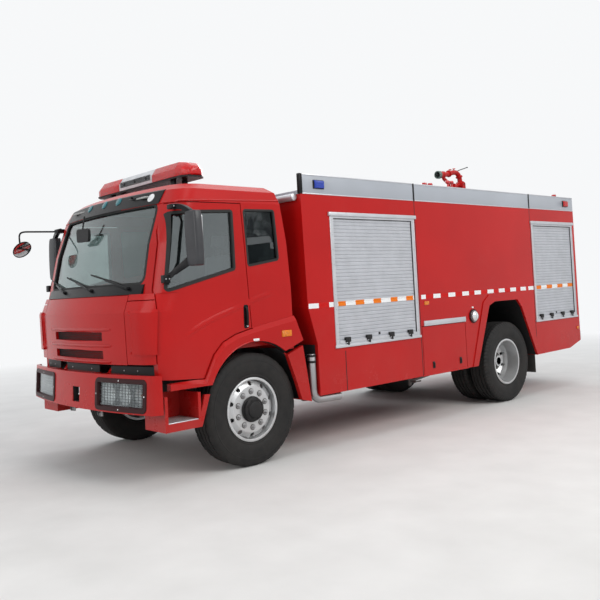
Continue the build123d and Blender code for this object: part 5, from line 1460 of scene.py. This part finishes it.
def pad_piece(obj, fill, stands_for=()):
    obj.data.materials.clear()
    obj.data.materials.append(M["seat"])
    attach(obj, "cab")
    if stands_for:
        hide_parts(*stands_for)


def pad_form(half, *rest, x=0.0):
    """Rough form of a pad, set off from the seat's middle by x."""
    box(SEAT_X + x - half, SEAT_X + x + half, *rest)


pad_form(0.155, -0.405, 0.03, 1.462, 1.545, 0.03, 4)
for x in (-0.192, 0.192):
    pad_form(0.034, -0.4, 0.03, 1.458, 1.556, 0.03, 4, x=x)
pad_form(0.155, -0.408, -0.345, 1.458, 1.548, 0.028, 4)
cushion = swelled("seat_cushion_left", 0.014)
pad_form(0.15, 0.045, 0.115, 1.585, 2.03, 0.03, 4, LEAN)
for x in (-0.185, 0.185):
    pad_form(0.034, 0.032, 0.115, 1.59, 2.01, 0.03, 4, LEAN, x=x)
back = swelled("seat_back_left", 0.014)
pad_form(0.125, 0.07, 0.13, 2.075, 2.225, 0.03, 4, LEAN)
rest = swelled("headrest_left", 0.012)
for left, fill in ((cushion, 0.75), (back, 0.75), (rest, 0.8)):
    other = linked(left.name.replace("left", "right"), left.data.copy())
    for v in other.data.vertices:
        v.co.x -= 2 * SEAT_X
    pad_piece(left, fill, ["seats"])
    pad_piece(other, fill)

for side in both_sides():
    for x in (SEAT_X - 0.215, SEAT_X + 0.215):
        line = line_of((x, -0.405, 1.51), (x, -0.2, 1.52), (x, 0.01, 1.515))
        tube(line, 0.0035, 8, 4)
    for x in (SEAT_X - 0.045, SEAT_X + 0.045):
        rod(at(x, 0.07, 2.0), at(x, 0.086, 2.12), 0.006, seg=14)
    piece(f"seat_piping_{side}", "black", "cab")
    pad_form(0.225, -0.4, 0.06, 1.43, 1.46, 0.01, 3)
    pad_form(0.18, 0.12, 0.136, 1.5, 2.02, 0.008, 3, LEAN)
    for hand in (-1, 1):
        lathe([(0.0, 0.03), (0.006, 0.034), (0.012, 0.03), (0.012, 0.0)],
              at(SEAT_X + hand * 0.2352, 0.03, 1.55), X_AXIS * SIDE * hand, 24)
    piece(f"seat_shell_{side}", "dark", "cab")
    # belt over the shoulder
    belt = line_of((SEAT_X + 0.27, 0.16, 2.28), (SEAT_X + 0.268, 0.155, 2.0), (SEAT_X + 0.262, 0.13, 1.62))
    sweep(smooth_line(belt, 5), oblong(0.046, 0.0016), up=X_AXIS)
    piece(f"seat_belt_{side}", "rubber", "cab")

# headliner, rear trim and sun visors
prism(rounded(quad(-0.93, 0.93, -0.68, 0.36), 0.09, 5), lambda u, v, t: at(u, v, t), 2.566, 2.578)
piece("headliner", "pale_trim", "cab")
box(-1.0, 1.0, 0.366, 0.374, 1.17, 2.55, 0.003)
for z in (1.55, 2.0):
    box(-0.99, 0.99, 0.358, 0.368, z - 0.006, z + 0.006)
piece("rear_trim", "interior", "cab")
for side in both_sides():
    box(0.26, 0.74, -0.8, -0.66, 2.54, 2.556, 0.007, 3)
    rod(at(0.25, -0.79, 2.548), at(0.78, -0.79, 2.548), 0.005, seg=12)
    piece(f"sun_visor_{side}", "pale_trim", "cab")
outline = rounded([(-0.125, -0.062), (0.125, -0.07), (0.13, 0.06), (-0.12, 0.07)], 0.03, 5)
prism(outline, lambda u, v, t: at(-0.15 + u, -0.985 + t, 2.27 + v), -0.014, 0.014)
rod(at(-0.15, -0.99, 2.33), at(-0.15, -0.965, 2.46), 0.008, seg=14)
piece("inner_mirror", "black", "cab")
prism(moved_in(outline, 0.008), lambda u, v, t: at(-0.15 + u, -0.985 + t, 2.27 + v), 0.0135, 0.0155)
piece("inner_mirror_glass", "mirror", "cab")

# tint behind the quarter windows
for side in both_sides():
    skin_patch(rounded(QUARTER, 0.035), side_skin, -0.02, -0.023, 20, 8)
    piece(f"quarter_tint_{side}", "quarter_glass", "cab")

# instrument hood, vents, centre stack and levers
hood = [(0.42, 1.64), (0.44, 1.715), (0.5, 1.738), (0.74, 1.738), (0.8, 1.715), (0.82, 1.64)]
rings = []
for y, grow in ((-0.9, 0.9), (-0.86, 0.98), (-0.745, 1.0), (-0.735, 0.97)):
    rings.append([at(SEAT_X + (u - SEAT_X) * grow, y, 1.64 + (v - 1.64) * grow) for u, v in hood])
loft(rings)
piece("instrument_hood", "black", "cab")
for x in (-0.85, -0.28, 0.28, 0.88):
    for j in range(5):
        z = 1.575 + j * 0.011
        box(x - 0.055, x + 0.055, -0.724, -0.714, z, z + 0.004, 0.001)
    box(x - 0.065, x + 0.065, -0.722, -0.717, 1.566, 1.571, 0.001)
    box(x - 0.065, x + 0.065, -0.722, -0.717, 1.63, 1.635, 0.001)
box(-0.11, 0.16, -0.726, -0.7, 1.36, 1.6, 0.008, 3)
for j in range(4):
    box(-0.085, 0.135, -0.704, -0.696, 1.39 + j * 0.05, 1.425 + j * 0.05, 0.004)
piece("dash_vents", "dark", "cab")
axis = Vector((0, 0.574, 0.819)).normalized()
hub = at(SEAT_X, -0.562, 1.755)
lathe([(-0.02, 0.055), (0.0, 0.06), (0.018, 0.052), (0.026, 0.03), (0.028, 0.0)], hub, axis, 40)
shroud = hub - axis * 0.05
rod(shroud, hub - axis * 0.18, 0.05, 0.06, seg=28, bevel=0.008)
for sign in (1, -1):
    a = shroud + Vector((sign * 0.045, 0, 0))
    b = shroud + Vector((sign * 0.19, 0.0, 0.02))
    rod(a, b, 0.007, 0.005, seg=12)
    rod(b, b + (b - a).normalized() * 0.03, 0.009, seg=12, bevel=0.002)
piece("steering_trim", "black", "cab")
lever = line_of((0.13, -0.35, 1.16), (0.13, -0.36, 1.4), (0.14, -0.4, 1.62), (0.145, -0.41, 1.66))
tube(lever, 0.008, 12, 5)
lathe([(-0.03, 0.01), (-0.02, 0.02), (0.0, 0.027), (0.018, 0.022), (0.026, 0.0)], lever[-1],
      Vector((0, -0.1, 1)), 24)
for k in range(6):
    z = 1.165 + k * 0.016
    lathe([(0.0, 0.07 - k * 0.009), (0.008, 0.062 - k * 0.009), (0.016, 0.061 - k * 0.009)],
          at(0.13, -0.35, z), Z_AXIS, 24)
piece("gear_lever", "rubber", "cab")


# water monitor

MONITOR_Y = 5.13
PIVOT = at(0, 5.175, 3.105)
NOZZLE_BACK = at(0, 4.775, 3.2365)
NOZZLE_TIP = at(0, 4.605, 3.222)
pipe = [PIVOT, at(0, 5.168, 3.17), at(0, 5.15, 3.235), at(0, 5.1, 3.278), at(0, 5.03, 3.287),
        at(0, 4.93, 3.268), at(0, 4.85, 3.248), NOZZLE_BACK]
tube(pipe, 0.037, 28)
elbow = line_of((0, 5.14, 3.11), (0, 5.06, 3.075), (0, 4.976, 3.068), (0, 4.89, 3.1), (0, 4.82, 3.142),
                (0, 4.765, 3.175), (0, 4.745, 3.225))
tube(elbow, 0.027, 22)
lathe([(-0.052, 0.0), (-0.052, 0.05), (-0.046, 0.054), (0.046, 0.054), (0.052, 0.05), (0.052, 0.0)], PIVOT,
      X_AXIS, 40)
for foot, tip in ((at(0, 5.157, 3.215), at(0, 5.148, 3.24)), (at(0, 4.9, 3.26), at(0, 4.878, 3.255)),
                  (at(0, 5.0, 3.066), at(0, 4.975, 3.066))):
    rod(foot, tip, 0.053, seg=30, bevel=0.004)
throw = (NOZZLE_TIP - NOZZLE_BACK).normalized()
lathe([(0.0, 0.0), (0.0, 0.047), (0.012, 0.052), (0.04, 0.052), (0.045, 0.046), (0.09, 0.046),
       (0.095, 0.055), (0.12, 0.0575)], NOZZLE_BACK, throw, 44)
piece("monitor_pipe", "red", "monitor_barrel", stands_for=["monitor_barrel"])
lathe([(0.118, 0.0578), (0.166, 0.0585), (0.17, 0.056), (0.17, 0.047), (0.158, 0.045), (0.13, 0.036),
       (0.118, 0.036)], NOZZLE_BACK, throw, 44)
sideways = throw.orthogonal().normalized()
for p in hoop(NOZZLE_BACK + throw * 0.145, sideways, throw.cross(sideways), 0.057, 16):
    rod(p - throw * 0.018, p + throw * 0.018, 0.0025, seg=6)
piece("nozzle_ring", "nozzle_green", "monitor_barrel")
lathe([(0.12, 0.0), (0.12, 0.037), (0.16, 0.044)], NOZZLE_BACK, throw, 32)
lathe([(0.12, 0.015), (0.155, 0.019), (0.165, 0.013), (0.166, 0.0)], NOZZLE_BACK, throw, 24)
piece("nozzle_bore", "dark", "monitor_barrel")
lever = line_of((0, 5.07, 3.3), (0, 5.16, 3.33), (0, 5.3, 3.368), (0, 5.372, 3.389))
tube(lever, 0.0065, 12, 5)
rod(at(0, 5.372, 3.3885), at(0, 5.39, 3.392), 0.0085, seg=16, bevel=0.002)
for sign in (1, -1):
    rod(PIVOT + X_AXIS * (sign * 0.05), PIVOT + X_AXIS * (sign * 0.071), 0.0165, seg=6, bevel=0.002)
piece("monitor_lever", "gloss_black", "monitor_barrel")
for y, z in ((5.03, 3.325), (4.93, 3.306)):
    post(0, y, z - 0.03, z + 0.012, 0.008, 14)
    lathe([(0.0, 0.01), (0.003, 0.024), (0.009, 0.026), (0.014, 0.022), (0.016, 0.0)], at(0, y, z + 0.01),
          Vector((0, -0.1, 1)), 24)
piece("monitor_valves", "red_cap", "monitor_barrel")

for low, high, r in ((2.967, 2.985, 0.087), (2.99, 3.02, 0.082)):
    lathe([(low - 2.9, 0.0), (low - 2.9, r - 0.003), (low - 2.897, r), (high - 2.903, r),
           (high - 2.9, r - 0.003), (high - 2.9, 0.0)], at(0, MONITOR_Y, 2.9), Z_AXIS, 44)
ear = rounded([(-0.038, -0.12), (0.038, -0.12), (0.034, 0.035), (-0.034, 0.035)], 0.03, 6)
for sign in (1, -1):
    prism(ear, lambda u, v, t: PIVOT + Vector((sign * t, u, v)), 0.0535, 0.0705)
piece("monitor_head", "red", "monitor_swivel", stands_for=["monitor_swivel"])
for foot in hoop(at(0, MONITOR_Y, 2.649), X_AXIS, Y_AXIS, 0.11, 8, 0.5):
    nut(foot, Z_AXIS, 0.011, 0.009)
piece("monitor_flange_bolts", "steel")
lathe([(0.0, 0.082), (0.02, 0.086), (0.03, 0.082)], at(0, MONITOR_Y, 2.915), Z_AXIS, 44)
wheel_centre = at(0.135, MONITOR_Y, 2.87)
rod(at(0.07, MONITOR_Y, 2.87), wheel_centre, 0.012, seg=16)
sweep(hoop(wheel_centre, Y_AXIS, Z_AXIS, 0.055, 24), circle(0.006, 10), closed=True, up=X_AXIS)
for end in hoop(wheel_centre, Y_AXIS, Z_AXIS, 0.055, 3):
    rod(wheel_centre, end, 0.004, seg=8)
piece("monitor_handwheel", "red_cap")


# roof deck

DECK = 2.625
PARAPET = 0.04
TRAY_FRONT = 0.665
TRAY_X = HALF - PARAPET + 0.002
MANHOLE_Y = 3.3
for sign in (1, -1):
    box(sign * (HALF - PARAPET), sign * HALF, TRAY_FRONT, REAR, BAND_LOW, BAND_HIGH, 0.004)
box(-TRAY_X, TRAY_X, REAR - PARAPET, REAR, 2.6, BAND_HIGH, 0.003)
box(-TRAY_X, TRAY_X, TRAY_FRONT, REAR - PARAPET + 0.005, BAND_LOW, DECK, 0.003)
box(-1.05, 1.05, 0.9, 2.38, DECK - 0.001, DECK + 0.004, 0.001)
lathe([(-0.001, 0.0), (-0.001, 0.29), (0.014, 0.29), (0.016, 0.288), (0.016, 0.25), (0.051, 0.25),
       (0.051, 0.288), (0.053, 0.29), (0.071, 0.29), (0.085, 0.276), (0.085, 0.0)], at(0, MANHOLE_Y, DECK),
      Z_AXIS, 72)
piece("roof_tray", "grey", stands_for=["roof_band"])
rod(at(-1.2, 0.626, 2.556), at(1.2, 0.626, 2.556), 0.036, seg=36, bevel=0.008)
for x in (-1.12, -0.4, 0.4, 1.12):
    box(x - 0.03, x + 0.03, 0.62, 0.667, 2.524, 2.588, 0.004)
piece("front_deck_tube", "alu")
box(-1.05, 1.05, 0.9, 2.38, 2.6285, 2.6305, 0.0008)
piece("walkway_sheet", "chequer")
for foot in hoop(at(0, MANHOLE_Y, 2.7095), X_AXIS, Y_AXIS, 0.272, 12):
    nut(foot, Z_AXIS, 0.012, 0.011)
grip = [at(x, MANHOLE_Y, z) for x, z in ((-0.09, 2.708), (-0.085, 2.74), (-0.06, 2.752), (0.06, 2.752),
                                         (0.085, 2.74), (0.09, 2.708))]
tube(grip, 0.007, 12, 4)
piece("manhole_fittings", "steel")
for x in (1.1, -1.1):
    for y in (0.85, 2.3, 2.65, 4.75, 5.4, 6.05):
        loop = ((-0.045, 0.0), (-0.04, 0.05), (0.0, 0.07), (0.04, 0.05), (0.045, 0.0))
        tube([at(x, y + u, DECK + v) for u, v in loop], 0.009, 10, 4)
piece("deck_lashing_eyes", "steel")
for y in (4.37, 4.46):
    post(0.35, y, DECK, DECK + 0.4, 0.016, 18)
    lathe([(0.0, 0.02), (0.01, 0.032), (0.03, 0.034), (0.046, 0.022), (0.05, 0.0)], at(0.35, y, DECK + 0.4),
          Z_AXIS, 24)
box(0.31, 0.39, 4.33, 4.5, DECK, DECK + 0.02, 0.006)
piece("foam_vents", "red_cap")
for x, y in ((1.02, 6.12), (1.0, 3.1), (1.0, 2.99)):
    post(x, y, DECK, 2.835, 0.014, 16)
    lathe([(0.0, 0.014), (0.004, 0.03), (0.02, 0.036), (0.036, 0.03), (0.042, 0.0)], at(x, y, 2.828),
          Z_AXIS, 28)
piece("deck_valves", "red_cap")


# rear end

REAR_JAMBS = (-0.62, 0.62)
latches(*REAR_JAMBS, rear=True)
piece("shutter_latches_rear", "black")
shutter_profiles(*REAR_JAMBS, rear=True)
piece("shutter_profiles_rear", "alu")
shutter_seals(*REAR_JAMBS, rear=True)
piece("shutter_seals_rear", "rubber")
plate(0.002, 0.088, -1.19, 1.19, 0.775, 0.7785, 0.0012, rear=True)
piece("rear_step_sheet", "chequer")
plate(0.002, 0.008, -0.26, 0.26, 0.815, 0.93, 0.003, rear=True)
piece("plate_holder", "black")
plate(0.008, 0.0105, -0.235, 0.235, 0.822, 0.923, 0.001, rear=True)
piece("blank_plate", "white_tape")
for x in (-1.1, 1.1):
    lathe([(0.0, 0.04), (0.006, 0.04), (0.009, 0.036), (0.009, 0.0)], at(x, 6.3205, 0.715), Y_AXIS, 32)
piece("rear_reflectors", "red_lens")
for x in (-1.1, -0.9, -0.7, -0.5, -0.3, 0.3, 0.5, 0.7, 0.9):
    plate(-0.0004, 0.0006, x - 0.1, x + 0.1, 0.945, 0.99, 0, rear=True)
piece("rear_stripe", "white_tape")


# underbody

SIDE_PIPE = (1.2, 0.745)
AIR_TANK = (0.63, 1.35, 0.8)
post(*SIDE_PIPE, 0.61, 0.972, 0.041, 36, 0.004)
line = line_of((*SIDE_PIPE, 0.63), (1.2, 0.752, 0.57), (1.2, 0.785, 0.53), (1.2, 0.85, 0.512),
               (1.2, 1.12, 0.505))
tube(line, 0.0405, 28)
piece("side_pipe_tube", "steel", stands_for=["side_pipe"])
post(1.09, 0.738, 0.5, 0.95, 0.047, 36, 0.01)
for z in (0.895, 0.955):
    post(*SIDE_PIPE, z - 0.012, z + 0.012, 0.045, 32, 0.003)
    box(1.03, 1.2, 0.752, 0.796, z - 0.01, z + 0.01, 0.003)
piece("side_pipe_filter", "black")
drain = line_of((0.9, 2.62, 0.56), (0.9, 2.62, 0.5), (0.9, 2.65, 0.465), (0.9, 2.75, 0.47),
                (0.9, 3.1, 0.505), (0.9, 3.28, 0.53), (0.9, 3.3, 0.56))
tube(drain, 0.023, 18, 5)
post(0.9, 2.62, 0.5, 0.4, 0.021, 20, 0.003)
rod(at(0.9, 2.62, 0.45), at(0.99, 2.62, 0.45), 0.012, seg=14, bevel=0.002)
box(0.985, 0.995, 2.61, 2.72, 0.442, 0.458, 0.003)
piece("tank_drain", "iron")
for sign in (-1, 1):
    end = [(0.0, 0.0), (0.004, 0.06), (0.02, 0.1), (0.05, 0.118)]
    lathe(end + [(0.85 - d, r) for d, r in reversed(end)], at(sign * AIR_TANK[0], *AIR_TANK[1:]), Y_AXIS, 36)
piece("air_tanks", "frame")
for sign in (-1, 1):
    for y in (1.5, 2.05):
        rim = hoop(at(sign * AIR_TANK[0], y, AIR_TANK[2]), X_AXIS, Z_AXIS, 0.121, 28)
        sweep(rim, oblong(0.03, 0.003), closed=True, up=Y_AXIS)
        box(sign * 0.43, sign * 0.54, y - 0.02, y + 0.02, 0.86, 0.9, 0.004)
piece("air_tank_straps", "steel")


# floor, light and camera

bmesh.ops.create_grid(bm, x_segments=1, y_segments=1, size=60.0)
floor = take("floor")
s = Shader("pale_floor")
grain = s.span(s.noise(2.0, 6.0), 0.3, 0.7)
s.surface(Base_Color=s.mix(grain, (0.62, 0.615, 0.6), (0.68, 0.675, 0.66)), Roughness=0.85,
          Normal=s.bump(s.noise(90.0, 3.0), 0.001, 0.3))
fade_from, fade_to = 5.5, 13.0
floor.data.materials.append(s.seen_as_white(s.span(s.length(), fade_from, fade_to)))
floor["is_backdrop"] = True

# a soft sky lights the truck, and the rays that show it see the plain backdrop
s = Shader("studio", "World")
scene.world = s.mat
ramp = s.add("ShaderNodeValToRGB")
s.put(ramp.inputs[0], s.span(s.axis("Z"), -1.0, 1.0))
for stop, place, colour in zip(ramp.color_ramp.elements, (0.42, 0.75),
                               ((0.5, 0.5, 0.49, 1), (0.92, 0.95, 1.0, 1))):
    stop.position = place
    stop.color = colour
blend = s.add("ShaderNodeMixShader")
s.put(blend.inputs[0], seen_rays(s.tree))
for socket, colour, strength in ((1, ramp.outputs[0], 0.62), (2, BACKDROP, 1.0)):
    sky = s.add("ShaderNodeBackground")
    s.put(sky.inputs[0], colour)
    s.put(sky.inputs[1], strength)
    s.put(blend.inputs[socket], sky.outputs[0])
s.put(s.out.inputs[0], blend.outputs[0])


def softbox(name, place, aim, width, height, watts, colour=(1, 1, 1)):
    light = bpy.data.lights.new(name, "AREA")
    light.shape = "RECTANGLE"
    light.size = width
    light.size_y = height
    light.energy = watts
    light.color = colour
    obj = linked(name, light)
    obj.location = place
    obj.rotation_euler = (Vector(aim) - Vector(place)).to_track_quat("-Z", "Y").to_euler()


softbox("key", (11.0, 0.5, 8.5), (0, 0.0, 1.2), 8.0, 6.0, 860, (1.0, 0.985, 0.96))
softbox("front", (2.0, -12.5, 5.0), (0, -3.0, 1.2), 7.0, 5.0, 330, (1.0, 0.99, 0.97))
softbox("top", (0.0, 0.0, 9.5), (0, 0, 1.5), 8.0, 9.0, 330)
softbox("back", (-8.0, 5.0, 6.0), (0, 0, 1.5), 6.0, 4.0, 300, (0.95, 0.97, 1.0))

YAW, PITCH, ROLL = (radians(v) for v in (47.72, 1.63, -2.99))
ahead = Vector((-sin(YAW) * cos(PITCH), cos(YAW) * cos(PITCH), sin(PITCH)))
flat = Vector((cos(YAW), sin(YAW), 0.0))
upright = flat.cross(ahead)
right = flat * cos(ROLL) + upright * sin(ROLL)
above = upright * cos(ROLL) - flat * sin(ROLL)
camera = bpy.data.cameras.new("camera")
sensor, photo_px, focal_px, shift_px = 36.0, 600, 732.2, -32.0
camera.sensor_width = sensor
camera.lens = focal_px / photo_px * sensor
camera.shift_y = shift_px / photo_px
camera.clip_end = 300.0
view = linked("camera", camera)
turn = Matrix((right, above, -ahead)).transposed().to_4x4()
view.matrix_world = Matrix.Translation(at(6.622, -4.275, 1.633)) @ turn
scene.camera = view
scene.view_settings.view_transform = "Standard"

low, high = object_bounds()
